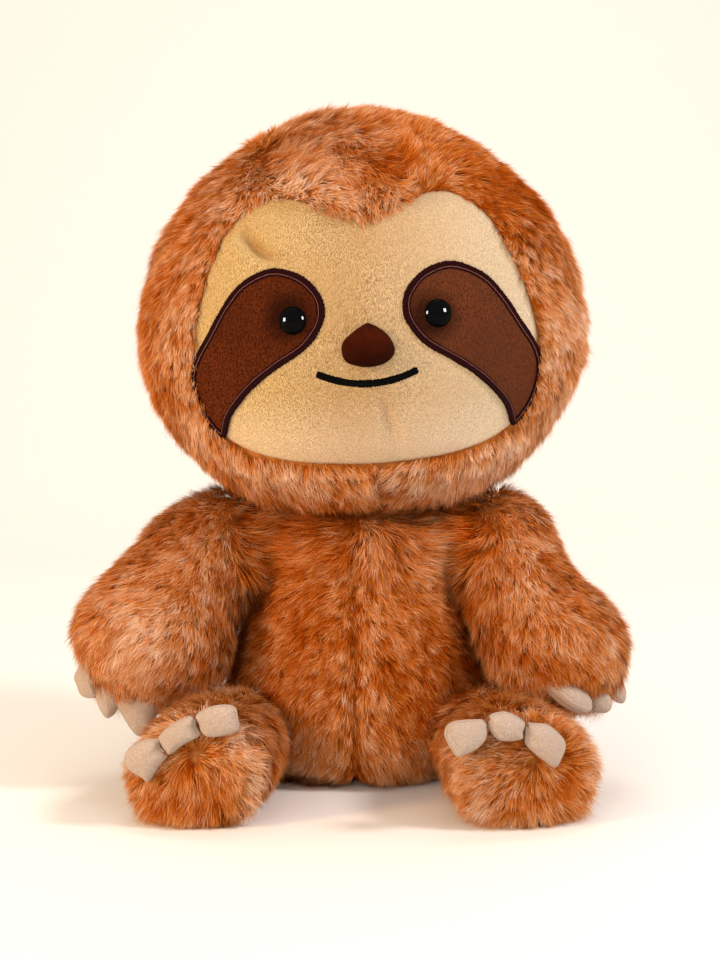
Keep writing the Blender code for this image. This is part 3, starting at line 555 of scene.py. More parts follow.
# An arm's shoulder, the way it runs, and the middle of its hand
def armLine(side):
    slope = np.array(Vector(arms["slope"][side]).normalized())
    shoulder = np.array(arms["shoulder"]) * (sides[side], 1, 1)
    return shoulder, slope, shoulder + slope * (arms["reach"] - arms["hand"])


# A leg's hip, the way it runs, and the way across it
def legLine(side):
    splay = math.radians(legs["splay"][side])
    forward = np.array((sides[side] * math.sin(splay), -math.cos(splay), 0))
    across = np.array((math.cos(splay), sides[side] * math.sin(splay), 0))
    return np.array(legs["hip"]) * (sides[side], 1, 1), forward, across


headFrame = (Matrix.Translation(Vector(head["place"]) * mm)
             @ Matrix.Rotation(math.radians(head["yaw"]), 4, "Z")
             @ Matrix.Rotation(math.radians(head["roll"]), 4, "Y"))
headHalf = Vector(head["size"]) / 2


# A closed curve through the points, with evenly spaced steps
def smoothLoop(points, count):
    loop = np.array(points, float)
    steps = np.linspace(0, len(loop), count, endpoint=False)
    whole, part = steps.astype(int), (steps % 1)[:, None]
    a, b, c, d = (loop[(whole + shift) % len(loop)] for shift in (-1, 0, 1, 2))
    curve = 0.5 * (2 * b + (c - a) * part + (2 * a - 5 * b + 4 * c - d) * part ** 2
                   + (3 * b - a - 3 * c + d) * part ** 3)
    length = np.linalg.norm(np.roll(curve, -1, 0) - curve, axis=1)
    walked = np.concatenate(([0], np.cumsum(length)))
    even = np.linspace(0, walked[-1], count, endpoint=False)
    closed = np.vstack((curve, curve[:1]))
    return np.stack([np.interp(even, walked, closed[:, axis]) for axis in (0, 1)], 1)


def inset(outline, amount):
    along = np.roll(outline, -1, 0) - np.roll(outline, 1, 0)
    along /= np.linalg.norm(along, axis=1)[:, None]
    inward = np.stack([-along[:, 1], along[:, 0]], 1)
    area = np.sum(outline[:, 0] * np.roll(outline[:, 1], -1) - np.roll(outline[:, 0], -1) * outline[:, 1])
    return outline + inward * amount * (1 if area > 0 else -1)


def localHeadSurface(depth):
    form = stuffedForm(headSections(depth), head["segments"], Matrix.Identity(4))
    shape = bmesh.new()
    shape.from_mesh(form.data)
    tree = BVHTree.FromBMesh(shape)
    shape.free()
    bpy.data.objects.remove(form)
    return tree


faceTree = localHeadSurface(face["depth"])


# Where the head's surface lies behind a point of the face, in the head's own mm, with a height above it
def onFace(across, up, lift=0.0):
    inFront = -200
    place, normal, _, _ = faceTree.ray_cast(Vector((across, inFront, up)) * mm, Vector((0, 1, 0)))
    return place / mm + normal * lift, normal


def faceMm(points):
    return [(across * headHalf.x, up * headHalf.z) for across, up in points]


# The photographed face is cut a little wider on the toy's left
def widen(outline):
    return outline + np.stack([1.8 * climb(outline[:, 0], 35, 70), 0 * outline[:, 0]], 1)


halfEdge = faceMm(face["edge"])
faceEdge = widen(smoothLoop(halfEdge + [(-x, z) for x, z in halfEdge[-2:0:-1]], face["edgeSteps"]))
faceCentre = np.array(faceMm([face["centre"]])[0])


# A cloth panel laid on the face: rings from its centre out to its edge, raised by the given heights
def layPanel(outline, centre, ringShares, lift):
    shape = bmesh.new()
    rings = []
    for share in ringShares:
        row = []
        for spot in outline:
            flat = centre + (spot - centre) * share
            place, normal = onFace(flat[0], flat[1])
            row.append(shape.verts.new(place + normal * lift(flat, share)))
        rings.append(row)
    place, normal = onFace(centre[0], centre[1])
    middle = shape.verts.new(place + normal * lift(centre, 0.0))
    joinRings(shape, middle, rings)
    bmesh.ops.recalc_face_normals(shape, faces=shape.faces)
    if sum(f.normal.y for f in shape.faces) > 0:
        bmesh.ops.reverse_faces(shape, faces=shape.faces)
    return makeObject(shape, headFrame)


# How far a point lies along the brow's fold and to its side
def alongFold(x, z):
    startX, startZ = face["fold"]["start"]
    wayX, wayZ = face["fold"]["way"]
    return (x - startX) * wayX + (z - startZ) * wayZ, (x - startX) * -wayZ + (z - startZ) * wayX


# How deep the face's cloth folds, at the brow and over the chin
def foldDepth(x, z):
    along, across = alongFold(x, z)
    bend = 0.02 * (along - 10) ** 2
    fold = face["fold"]["depth"] * hump(across - bend, 0, face["fold"]["half"]) * hump(along, 9, 9)
    crease = face["crease"]
    creaseX, creaseZ = crease["place"]
    lean = 0.25 * (z + 44)
    return fold + crease["depth"] * hump(x + lean, creaseX, crease["half"]) * hump(z, creaseZ, crease["tall"])


# The face bulges, sinks at its folds and under the eyes, and has its edge turned in
def faceLift(flat, share):
    puff = 0.5 + face["puff"] * (1 - share ** 2)
    tuck = face["tuck"] * max(0.0, (share - 0.96) / 0.04) ** 2
    along, across = alongFold(*flat)
    rise = 2.0 * hump(across, -5.6, 3.4) * hump(along, 5, 7)
    bed = 0.0
    for x, z in eyes["place"].values():
        bed += face["eyeBed"] * math.exp(-(math.hypot(flat[0] - x, flat[1] - z) / 9.0) ** 4)
    return puff - tuck - foldDepth(*flat) + rise - bed


# Cream velboa face, set into the fur
panelShares = [0.02] + [i / 70 for i in range(2, 67)] + [0.957, 0.97, 0.98, 0.99, 1.0]
facePanel = layPanel(faceEdge, faceCentre, panelShares, faceLift)
# how deep each point lies in a fold, for the painted shade in the folds
paintedFoldShade = facePanel.data.attributes.new("paintedFoldShade", "FLOAT", "POINT")
for vertex, value in zip(facePanel.data.vertices, paintedFoldShade.data):
    spot = headFrame.inverted() @ vertex.co / mm
    value.value = foldDepth(spot.x, spot.z) / face["fold"]["depth"]
finishPiece(facePanel, "face_velboa", "head", faceMaterial, ["face_panel"])
print("face laid")


# A row of satin stitch laid along a line on the face: each thread crosses the row
def sewSatin(line, width, height, pitch, lift, closed):
    steps = np.linalg.norm(np.diff(line, axis=0), axis=1)
    if closed:
        line = np.vstack((line, line[:1]))
        steps = np.append(steps, np.linalg.norm(line[-1] - line[-2]))
    walked = np.concatenate(([0], np.cumsum(steps)))
    perThread = len(satin["groove"])
    count = int(walked[-1] / pitch) * perThread
    spans = np.linspace(0, walked[-1], count + (0 if closed else 1), endpoint=not closed)
    flat = np.stack([np.interp(spans, walked, line[:, axis]) for axis in (0, 1)], 1)
    laid = [onFace(across, up, lift) for across, up in flat]
    spots, normals = (np.array(column) for column in zip(*laid))
    along = np.roll(spots, -1, 0) - np.roll(spots, 1, 0) if closed else np.gradient(spots, axis=0)
    along /= np.linalg.norm(along, axis=1)[:, None]
    sideways = np.cross(normals, along)
    around = satin["around"]
    number = np.arange(len(spots))
    thread, run = number // perThread, (spans / satin["run"]).astype(int)
    groove = np.array(satin["groove"])[number % perThread]
    # threads differ a little, and so do the needle's runs, with a notch where a run starts
    ragged = 1 + 0.06 * np.sin(thread * 2.4) + 0.04 * np.sin(thread * 5.1)
    ragged *= 1 + 0.05 * np.sin(run * 2.7) - 0.12 * hump(spans / satin["run"], run, 0.05)
    taper = np.ones(len(spots))
    if not closed:
        taper = np.clip(0.75 + np.minimum(spans, walked[-1] - spans) / 2, 0, 1)
    shape = bmesh.new()
    uvLayer = shape.loops.layers.uv.new("OFBake")
    rows = []
    for step in range(len(spots)):
        row = []
        for turn in np.arange(around) / around * 2 * math.pi:
            reach = math.cos(turn) * width / 2 * ragged[step] * taper[step]
            dome = 1.0 if turn < math.pi else 0.5
            rise = math.sin(turn) * height * dome * groove[step] * (0.5 + 0.5 * taper[step])
            row.append(shape.verts.new(spots[step] + sideways[step] * reach + normals[step] * rise))
        rows.append(row)
    for step in range(len(rows) if closed else len(rows) - 1):
        after = (step + 1) % len(rows)
        for spot in range(around):
            beside = (spot + 1) % around
            quad = shape.faces.new((
                rows[step][spot], rows[after][spot], rows[after][beside], rows[step][beside]))
            places = ((step, spot), (step + 1, spot), (step + 1, spot + 1), (step, spot + 1))
            for loop, (alongStep, roundStep) in zip(quad.loops, places):
                loop[uvLayer].uv = (alongStep / len(rows), roundStep / around)
    if not closed:
        shape.faces.new(rows[0])
        shape.faces.new(rows[-1][::-1])
    bmesh.ops.recalc_face_normals(shape, faces=shape.faces)
    return makeObject(shape, headFrame)


# Dark velboa round each eye, its edge under a border of satin stitch, and the eye in it
for side, sign in sides.items():
    outline = smoothLoop(faceMm(patches["edge"]), patches["edgeSteps"])
    outline = widen(outline * (sign, 1))[::sign]
    centre = np.array(faceMm([patches["centre"]])[0]) * (sign, 1)
    eyeX, eyeZ = eyes["place"][side]

    # the cloth is drawn in round the eye and stands under it
    def patchLift(flat, share):
        away = math.hypot(flat[0] - eyeX, flat[1] - eyeZ)
        dent = -0.9 * math.exp(-(away / 8.5) ** 2) + 0.7 * math.exp(-(away / 5.5) ** 4)
        return patches["height"] - 0.8 * share ** 6 + dent

    patch = layPanel(inset(outline, 1.0), centre, [i / 40 for i in range(1, 41)], patchLift)
    finishPiece(patch, "eye_patch_velboa_" + side, "head", patchMaterial, ["eye_patch_" + side])
    border = sewSatin(inset(outline, 1.5), closed=True, **patches["satin"])
    finishPiece(border, "eye_patch_satin_" + side, "head", maroonThread,
                ["eye_patch_stitching_" + side])

    place, normal = onFace(eyeX, eyeZ, eyes["lift"])
    bpy.ops.mesh.primitive_uv_sphere_add(segments=64, ring_count=40, radius=eyes["radius"])
    eye = bpy.context.object
    for vertex in eye.data.vertices:
        vertex.co.z *= (eyes["dome"] if vertex.co.z > 0 else eyes["rim"]) / eyes["radius"]
    looks = normal + Vector((0, -eyes["forward"], 0))
    eye.data.transform(headFrame @ Matrix.Scale(mm, 4) @ Matrix.Translation(place)
                       @ Vector((0, 0, 1)).rotation_difference(looks).to_matrix().to_4x4())
    bpy.ops.object.shade_smooth()
    finishPiece(eye, "eye_bead_" + side, "head", eyeMaterial, ["eye_" + side])
print("eyes set")


# A small bag sewn from two flat pieces: outline across and up, stuffed to the given heights, seam at its rim
def sewBag(outline, front, back, matrix, fullness, seam):
    loop = smoothLoop(outline, 72)
    centre = loop.mean(0)
    shares = [i / 16 for i in range(1, 14)] + [0.86, 0.89, 0.915, 0.94, 0.955, 0.97, 0.985, 0.995]
    turns = np.arctan2(loop[:, 1] - centre[1], loop[:, 0] - centre[0])
    shape = bmesh.new()
    rim = [shape.verts.new((x, 0, z)) for x, z in loop]
    for side, height in ((-1, front), (1, back)):
        rings = []
        for share in shares:
            swell = (1 - share ** 2.2) ** fullness * (1 - seam * math.exp(-((share - 0.94) / 0.02) ** 2))
            row = []
            for (x, z), turn in zip(centre + (loop - centre) * share, turns):
                pucker = 1 + 0.06 * math.sin(11 * turn + 2) * share ** 3 + 0.04 * math.sin(5 * turn) * share ** 2
                row.append(shape.verts.new((x, side * height * swell * pucker, z)))
            rings.append(row)
        joinRings(shape, shape.verts.new((centre[0], side * height, centre[1])), rings + [rim])
    bmesh.ops.recalc_face_normals(shape, faces=shape.faces)
    return makeObject(shape, matrix)


# Suede nose, a small stuffed bag gathered underneath
noseCentre = np.mean(nose["outline"], 0)
place, normal = onFace(*noseCentre, 1.0)
noseSpot = headFrame @ Matrix.Translation(Vector((noseCentre[0], place.y, noseCentre[1])) * mm)
noseForm = sewBag(np.array(nose["outline"]) - noseCentre, nose["front"], nose["back"], noseSpot, 0.6, 0.0)
finishPiece(noseForm, "nose_suede", "head", noseMaterial, ["nose"])

# Smile in black satin stitch
spans = np.linspace(-1, 1, 60)
line = np.stack([spans * mouth["half"] * headHalf.x + mouth["shift"],
                 (mouth["sag"] + (mouth["corner"] - mouth["sag"]) * spans ** 2) * headHalf.z], 1)
smile = sewSatin(line, closed=False, **mouth["satin"])
finishPiece(smile, "mouth_satin", "head", blackThread, ["mouth_stitching"])
print("nose and mouth made")


def readPoints(mesh, field="co"):
    values = np.empty(len(mesh.vertices) * 3)
    mesh.vertices.foreach_get(field, values)
    return values.reshape(-1, 3)


# Moves a form's points along their normals by the rise in mm
def pushOut(form, rise, axes=(1, 1, 1)):
    spots, normals = readPoints(form.data), readPoints(form.data, "normal")
    form.data.vertices.foreach_set("co", (spots + normals * rise[:, None] * mm * axes).ravel())
    form.data.update()


# Stuffed forms under the fur
depth = fur["backingDepth"]
torsoForm = stuffedForm(torsoSections(depth), torso["segments"], Matrix.Identity(4))
spots, normals = readPoints(torsoForm.data) / mm, readPoints(torsoForm.data, "normal")
rise = -torso["seamDepth"] * hump(spots[:, 0], torso["seamX"], 3.0) * np.clip(-normals[:, 1], 0, 1)
for way, high, spread, amount in torso["swells"]:
    rise += amount * hump(spots[:, 2], high, spread) * np.clip(normals @ way, 0, 1)
pushOut(torsoForm, rise, (1, 1, 0))
finishPiece(torsoForm, "torso_backing", "torso", backingMaterial, ["torso_skin"])

toHead = np.array(headFrame.inverted())
fromHead = np.array(headFrame)[:3, :3]
edgeTurn = np.arctan2(faceEdge[:, 1] - faceCentre[1], faceEdge[:, 0] - faceCentre[0])
edgeReach = np.hypot(faceEdge[:, 0] - faceCentre[0], faceEdge[:, 1] - faceCentre[1])
order = np.argsort(edgeTurn)
edgeTurn, edgeReach = edgeTurn[order], edgeReach[order]


def headLocal(spots):
    return (spots @ toHead[:3, :3].T + toHead[:3, 3]) / mm


# How far a point in the head's own mm lies outside the edge of the face, and the way out from it
def fromFace(local):
    behind = 60.0
    out = local[:, [0, 2]] - faceCentre
    reach = np.hypot(out[:, 0], out[:, 1])
    edge = np.interp(np.arctan2(out[:, 1], out[:, 0]), edgeTurn, edgeReach, period=2 * math.pi)
    way = np.stack([out[:, 0] / reach, np.zeros(len(out)), out[:, 1] / reach], 1)
    return np.where(local[:, 1] < 0, reach - edge, behind), way


# How near a point lies to the chin's seam, where it is below the given height
def chinSeam(local, spread, top):
    return hump(local[:, 0], head["chinSeamX"], spread) * (local[:, 2] < top) * (local[:, 1] < 0)


# The head sinks at the face's edge, and further under the face
headForm = stuffedForm(headSections(depth), head["segments"], headFrame)
local = headLocal(readPoints(headForm.data))
away, _ = fromFace(local)
rise = -3.2 * hump(np.clip(away, 0, None), 0, 2.2) - 6.0 * climb(away, -2, -7)
rise -= head["chinSeamDepth"] * chinSeam(local, 2.6, -62)
for x, z, radius, amount in head["bulges"]:
    rise += amount * hump(np.hypot(local[:, 0] - x, local[:, 2] - z), 0, radius) * hump(local[:, 1], 0, 45)
pushOut(headForm, rise)
finishPiece(headForm, "head_backing", "head", backingMaterial, ["head_skin"])

bpy.ops.mesh.primitive_uv_sphere_add(segments=48, ring_count=24, radius=neck["radius"] * mm,
                                     location=Vector(neck["place"]) * mm)
neckForm = bpy.context.object
bpy.ops.object.transform_apply(location=True, rotation=True, scale=True)
bpy.ops.object.shade_smooth()
finishPiece(neckForm, "neck_backing", "neck", backingMaterial, ["neck_stuffing"])

armForms, legForms = {}, {}
for side, sign in sides.items():
    shoulder, slope, _ = armLine(side)
    armFrame = (Matrix.Translation(Vector(shoulder) * mm)
                @ Vector((0, 0, -1)).rotation_difference(Vector(slope)).to_matrix().to_4x4())
    rows = limbSections(arms["root"], arms["reach"], arms["hand"], arms["hand"], arms["shares"], depth)
    armForm = armForms[side] = stuffedForm(rows, 8, armFrame, levels=3)
    along = (readPoints(armForm.data) / mm - shoulder) @ slope / arms["reach"]
    inward = readPoints(armForm.data, "normal") @ (np.array((-sign, 0, 0)) + slope * slope[0] * sign)
    rise = np.zeros(len(along))
    for middle, spread, inner, outer in arms["sag"][side]:
        rise += hump(along, middle, spread) * (inner * np.clip(inward, 0, 1) + outer * np.clip(-inward, 0, 1))
    pushOut(armForm, rise)
    finishPiece(armForm, "arm_backing_" + side, "arm_" + side, backingMaterial, ["arm_skin_" + side])

    hip, forward, across = legLine(side)
    width, height = legs["foot"]
    rows = limbSections(legs["root"], legs["reach"], width / 2, height / 2, legs["shares"], depth)
    legForm = legForms[side] = stuffedForm(rows, 8, columns(-across, (0, 0, 1), -forward, hip), levels=3)
    spots = readPoints(legForm.data) / mm
    outward = readPoints(legForm.data, "normal") @ across * sign
    outer, inner = legs["swell"][side]
    low = climb(spots[:, 2], hip[2] + 8, hip[2] - 2)
    rise = outer * np.clip(outward, 0, 1) * low + inner * np.clip(-outward, 0, 1)
    rise *= climb((spots - hip) @ forward, 25, 45)
    pushOut(legForm, rise)
    finishPiece(legForm, "leg_backing_" + side, "leg_" + side, backingMaterial,
                ["leg_skin_" + side, "foot_sole_" + side])
print("stuffed forms made")


# Suede claws, small bags sewn on in rows of three
def clawFrame(place, pointing, outward):
    down = -Vector(pointing).normalized()
    across = down.cross(Vector(outward)).normalized()
    return columns(across, down.cross(across), down, place)


def sewClaw(name, body, outline, thick, matrix):
    claw = sewBag(outline, thick / 2, thick / 2, matrix, 0.5, 0.35)
    finishPiece(claw, name + "_suede", body, clawMaterial, [name])


# Loops of thread that tack one claw to the next
def tackClaws(name, body, place, dice):
    bpy.ops.curve.primitive_bezier_curve_add()
    tack = bpy.context.object
    tack.data.splines.clear()
    tack.data.dimensions = "3D"
    tack.data.bevel_depth = 0.28 * mm
    tack.data.bevel_resolution = 2
    for _ in range(5):
        way = Vector((dice.uniform(-1, 1), 0, dice.uniform(-0.8, 0.8))).normalized()
        spline = tack.data.splines.new("BEZIER")
        spline.bezier_points.add(2)
        shift = Vector((dice.normal(0, 0.3), 0, dice.normal(0, 0.5)))
        for point, (reach, rise) in zip(spline.bezier_points, ((-2.2, 1.4), (0, -0.6), (2.2, 1.4))):
            point.co = (Vector(place) + shift + way * reach + Vector((0, rise, 0))) * mm
            point.handle_left_type = point.handle_right_type = "AUTO"
    bpy.ops.object.convert(target="MESH")
    bpy.ops.object.shade_smooth()
    finishPiece(tack, name, body, brownThread)


dice = np.random.default_rng(fur["seed"])
for side in sides:
    hand = armLine(side)[2]
    for number, (place, pointing, outward, share) in enumerate(arms["claws"][side], 1):
        matrix = clawFrame(hand + np.array(place) * arms["hand"], pointing, outward)
        sewClaw("hand_claw_%s_%d" % (side, number), "arm_" + side, clawOutlines["hand_" + side][number - 1],
                share * arms["clawThick"], matrix)

    hip, forward, across = (Vector(v) for v in legLine(side))
    sole = hip + forward * (legs["reach"] + legs["clawStand"])
    upward = Vector((0, 0, 1))
    width, height = legs["foot"]
    before = None
    for number, (place, pointing) in enumerate(legs["claws"][side], 1):
        spot = sole + across * place[0] * width / 2 + upward * place[1] * height / 2
        matrix = clawFrame(spot, across * pointing[0] + upward * pointing[1], forward)
        outline = clawOutlines["foot_" + side][number - 1]
        sewClaw("foot_claw_%s_%d" % (side, number), "leg_" + side, outline, legs["clawThick"], matrix)
        corners = [matrix @ (Vector((x, 0, z)) * mm) / mm for x, z in outline]
        if before:
            pairs = [((a - b).length, i, j) for i, a in enumerate(before) for j, b in enumerate(corners)]
            _, first, second = min(pairs)
            tackClaws("claw_tack_%s_%d" % (side, number - 1), "leg_" + side,
                      (before[first] + corners[second]) / 2 + forward, dice)
        before = corners
print("claws sewn")


# Fur

# A smooth random field over the toy, about -1 to 1, with patches of the given size in mm
def drift(spots, size, seed):
    dice = np.random.default_rng(seed)
    waves = dice.normal(size=(7, 3)) * 2 * math.pi / size / mm / 1.8
    starts = dice.uniform(0, 2 * math.pi, 7)
    return np.sin(spots @ waves.T + starts).sum(1) / math.sqrt(7) * 0.9


# Where locks of pile stand on a form: evenly by area, where keep says so
def plantLocks(form, keep, dice):
    mesh = form.data
    mesh.calc_loop_triangles()
    corners = np.empty(len(mesh.loop_triangles) * 3, int)
    mesh.loop_triangles.foreach_get("vertices", corners)
    corners = corners.reshape(-1, 3)
    spots, normals = readPoints(mesh), readPoints(mesh, "normal")
    a, b, c = (spots[corners[:, i]] for i in range(3))
    area = np.linalg.norm(np.cross(b - a, c - a), axis=1) / 2
    total = np.cumsum(area)
    count = int(total[-1] / (fur["lockArea"] * mm * mm))
    picks = np.searchsorted(total, (np.arange(count) + dice.uniform(size=count)) / count * total[-1])
    first, second = np.sqrt(dice.uniform(size=count)), dice.uniform(size=count)
    shares = np.stack([1 - first, first * (1 - second), first * second], 1)[:, :, None]
    places = (spots[corners[picks]] * shares).sum(1)
    facing = unit((normals[corners[picks]] * shares).sum(1))
    kept = keep(places)
    return places[kept], facing[kept]


def buildPile(name, body, spots, faces, uvs, normals):
    mesh = bpy.data.meshes.new(name)
    mesh.vertices.add(len(spots))
    mesh.vertices.foreach_set("co", spots.astype(np.float32).ravel())
    mesh.loops.add(faces.size)
    mesh.loops.foreach_set("vertex_index", faces.astype(np.int32).ravel())
    mesh.polygons.add(len(faces))
    mesh.polygons.foreach_set("loop_start", np.arange(len(faces), dtype=np.int32) * 3)
    layer = mesh.uv_layers.new(name="OFBake")
    layer.data.foreach_set("uv", uvs[faces.ravel()].astype(np.float32).ravel())
    mesh.update(calc_edges=True)
    mesh.polygons.foreach_set("use_smooth", np.ones(len(faces), bool))
    normals = normals.astype(np.float32)
    mesh.normals_split_custom_set_from_vertices(normals)
    mesh.attributes.new("pileNormal", "FLOAT_VECTOR", "POINT").data.foreach_set("vector", normals.ravel())
    thing = bpy.data.objects.new(name, mesh)
    bpy.context.scene.collection.objects.link(thing)
    finishPiece(thing, name, body, coatMaterial)


# Turns one way towards another by an angle
def swing(way, other, turn):
    return way * np.cos(turn)[..., None] + other * np.sin(turn)[..., None]


# Grows locks of bent flat strands. comb is the way they lie, tone runs from 0, rust, to 1, pale
def growCoat(name, body, form, keep, comb, tone, length, lifts, seed):
    dice = np.random.default_rng(fur["seed"] * 100 + seed)
    places, facing = plantLocks(form, keep, dice)
    locks, strands = len(places), fur["strandsPerLock"]
    each = (locks, strands)
    spread = fur["lockSpread"]
    lie = comb(places, facing)
    lie = unit(lie - facing * (lie * facing).sum(1, keepdims=True))
    turn = (0.38 * drift(places, 22, seed) + 0.28 * drift(places, 9, seed + 1)
            + dice.normal(0, spread["turn"], locks))
    lie = swing(lie, np.cross(facing, lie), turn)
    beside = np.cross(lie, facing)
    lockLength = length(places) * (
        1 + dice.normal(0, spread["length"], locks) + 0.10 * drift(places, 12, seed + 2))
    start, end = lifts(places)
    lockStart = np.radians(start + dice.normal(0, spread["lift"], locks) + 8 * drift(places, 14, seed + 3))
    lockEnd = np.radians(end + dice.normal(0, spread["lift"], locks) + 8 * drift(places, 14, seed + 4))
    lockTone = (tone(places) + dice.normal(0, spread["tone"], locks)
                + 0.09 * drift(places, 25, seed + 5) + 0.07 * drift(places, 7, seed + 6))

    spread = fur["strandSpread"]
    radius = fur["lockRadius"] * np.sqrt(dice.uniform(size=each))
    bearing = dice.uniform(0, 2 * math.pi, each)
    along, aside = radius * np.cos(bearing), radius * np.sin(bearing)
    reach = lockLength[:, None] * dice.uniform(0.74, 1.06, each)
    short = dice.uniform(size=each) < fur["shortShare"]
    reach *= np.where(short, dice.uniform(0.45, 0.75, each), 1)
    way = swing(lie[:, None], beside[:, None], dice.normal(0, spread["turn"], each))
    side = np.cross(way, facing[:, None])
    rise0 = lockStart[:, None] + dice.normal(0, spread["lift"], each)
    rise1 = lockEnd[:, None] + dice.normal(0, spread["lift"], each)
    bend = np.where(np.abs(rise1 - rise0) < 0.05, -0.05, rise1 - rise0)
    roll = dice.normal(0, spread["roll"], each)
    back = swing(facing[:, None], -way, (rise0 + rise1) / 2)
    edge, flat = swing(side, back, roll), swing(back, -side, roll)
    strandTone = np.clip(lockTone[:, None] + dice.normal(0, spread["tone"], each), 0.03, 0.97)
    clump = dice.uniform(0.25, 0.75, each)

    # each strand is two triangles: a root, two points across it, and a tip, on an arc
    points, uvs = [], []
    for station, breadth in ((0.0, 0.0), (0.45, 1.0), (1.0, 0.0)):
        rise = rise0 + bend * station
        height = reach / bend * (np.cos(rise0) - np.cos(rise))
        run = reach / bend * (np.sin(rise) - np.sin(rise0))
        gather = 1 - clump * station ** 1.3
        spot = (places[:, None] + (facing[:, None] * height[..., None] + way * run[..., None]
                + lie[:, None] * (along * gather)[..., None] + beside[:, None] * (aside * gather)[..., None]) * mm)
        half = edge * (fur["strandWidth"] / 2 * breadth * mm)
        for shift in (-1, 1) if breadth else (0,):
            points.append(spot + half * shift)
            uvs.append(np.stack([strandTone + 0.004 * shift, np.full_like(strandTone, station)], -1))
    points = np.stack(points, 2).reshape(-1, 4, 3)
    uvs = np.stack(uvs, 2).reshape(-1, 4, 2)
    points[..., 2] = np.maximum(points[..., 2], 0.2 * mm)
    shade = unit(facing[:, None] * 0.55 + flat * 0.45).reshape(-1, 1, 3).repeat(4, 1)

    rooted = ~(short | (np.arange(strands) % 3 == 0)).ravel()    # the others start under their neighbours
    for number, low in enumerate(range(0, len(points), fur["strandsPerPiece"]), 1):
        part = slice(low, low + fur["strandsPerPiece"])
        used = np.ones((len(points[part]), 4), bool)
        used[:, 0] = rooted[part]
        index = np.cumsum(used.ravel()).reshape(-1, 4) - 1
        faces = np.concatenate([index[rooted[part]][:, [0, 2, 1]], index[:, [1, 2, 3]]])
        buildPile("%s_pile_%d" % (name, number), body, points[part][used], faces, uvs[part][used],
                  shade[part][used])
    print(name, "pile:", len(points), "strands")


# Blots of lighter or darker fur on the front: partly the fur's own tone, partly painted sheen highlight and
# painted shade
def blots(spots, table):
    total = np.zeros(len(spots))
    for x, z, radius, amount in table:
        far = np.hypot(spots[:, 0] / mm - x, spots[:, 2] / mm - z)
        total += amount * hump(far, 0, radius) * (spots[:, 1] < 0)
    return total


def fromNeck(spots):
    return np.linalg.norm(spots / mm - np.array(neck["place"]), axis=1)


def everywhere(spots):
    return np.ones(len(spots), bool)


# Bare at the face, inside the neck and where the chin's seam gapes, widest under the face
def headKeep(spots):
    local = headLocal(spots)
    away, _ = fromFace(local)
    gape = 0.5 + 1.9 * climb(local[:, 2], -80, -68)
    gap = (np.abs(local[:, 0] - head["chinSeamX"]) < gape) & (local[:, 2] < -55) & (local[:, 1] < 0)
    return (away > -1.6) & (fromNeck(spots) > neck["radius"] - 3) & ~gap


# Brushed down and back over the head, away from the chin's seam, and as listed above the face
def headComb(spots, facing):
    local = headLocal(spots)
    away, out = fromFace(local)
    x, y, z = local.T
    flatX = np.clip(x / 60, -1, 1)
    way = np.stack([0.15 * flatX, 0.12 + 0 * x, -1 + 0 * x], 1)
    crown = climb(z, 50, 80)[:, None]
    way = way * (1 - crown) + np.stack([0.9 * flatX + 0.3, 0.5 + 0 * x, 0.3 + 0 * x], 1) * crown
    part = np.tanh((x - head["chinSeamX"]) / 4)
    pull = np.where(x < head["chinSeamX"], 1 - 0.6 * climb(x, -60, -10), 0.9) * climb(z, -20, -50)
    beside = np.stack([out[:, 2] * part, 0 * x, -np.abs(out[:, 0])], 1)
    way += beside * (np.where(z < 20, 0.4 + pull, 0) * np.exp(-np.clip(away, 0, None) / 24))[:, None]
    brushed, total = np.zeros_like(way), np.zeros(len(x))
    for spotX, spotZ, across, up in head["flow"]:
        far = np.hypot(x - spotX, z - spotZ) / head["flowReach"]
        near = np.exp(-far ** 2 / 2) * climb(y, 0, -15)
        brushed += near[:, None] * np.array([across, -0.05, up])
        total += near
    way = way * np.clip(1 - total, 0.05, 1)[:, None] + brushed
    return way @ fromHead.T


# Paler beside the face, with painted shade under the chin and in its seam
def headTone(spots):
    local = headLocal(spots)
    away, _ = fromFace(local)
    beside = 0.20 * hump(away, 4, 6) * np.where(spots[:, 0] < 0.02, 1, 0.5)
    under = -0.10 * climb(local[:, 2], -72, -80)
    return 0.40 + beside + under - 0.55 * chinSeam(local, 1.6, -62) + blots(spots, head["blots"])


def headLength(spots):
    local = headLocal(spots)
    away, _ = fromFace(local)
    chin = climb(local[:, 2], -55, -75)
    jowl = climb(local[:, 2], -62, -72) * climb(np.abs(local[:, 0]), 20, 32)
    long = 0.78 + 0.22 * climb(away, 0, 14) + 0.10 * chin + 0.4 * jowl
    return fur["length"] * long * (1 - 0.45 * chinSeam(local, 4, -55))


# Upright beside the face's seam, laid over further out
def headLift(spots):
    away, _ = fromFace(headLocal(spots))
    near = np.exp(-np.clip(away, 0, None) / 3.5)
    return fur["startLift"] + 16 * near, fur["endLift"] + 22 * near


growCoat("head", "head", headForm, headKeep, headComb, headTone, headLength, headLift, 1)


def torsoKeep(spots):
    seam = (np.abs(spots[:, 0] / mm - torso["seamX"]) < torso["seamGap"]) & (spots[:, 1] < 0)
    return (fromNeck(spots) > neck["radius"] - 4) & ~seam


# Brushed down, parted at the front seam, outward at the shoulders and back under the seat
def torsoComb(spots, facing):
    x, y, z = (spots / mm).T
    part = np.tanh((x - torso["seamX"]) / 3)
    front = climb(y, 0, -20)
    shoulder = climb(z, 88, 102) * climb(np.abs(x), 14, 26)
    seat = climb(z, 16, 6) * front
    return np.stack([0.6 * part * front + 1.6 * np.sign(x) * shoulder, 0.1 * (1 - front) - 0.5 * seat,
                     -1 + 0.7 * shoulder], 1)


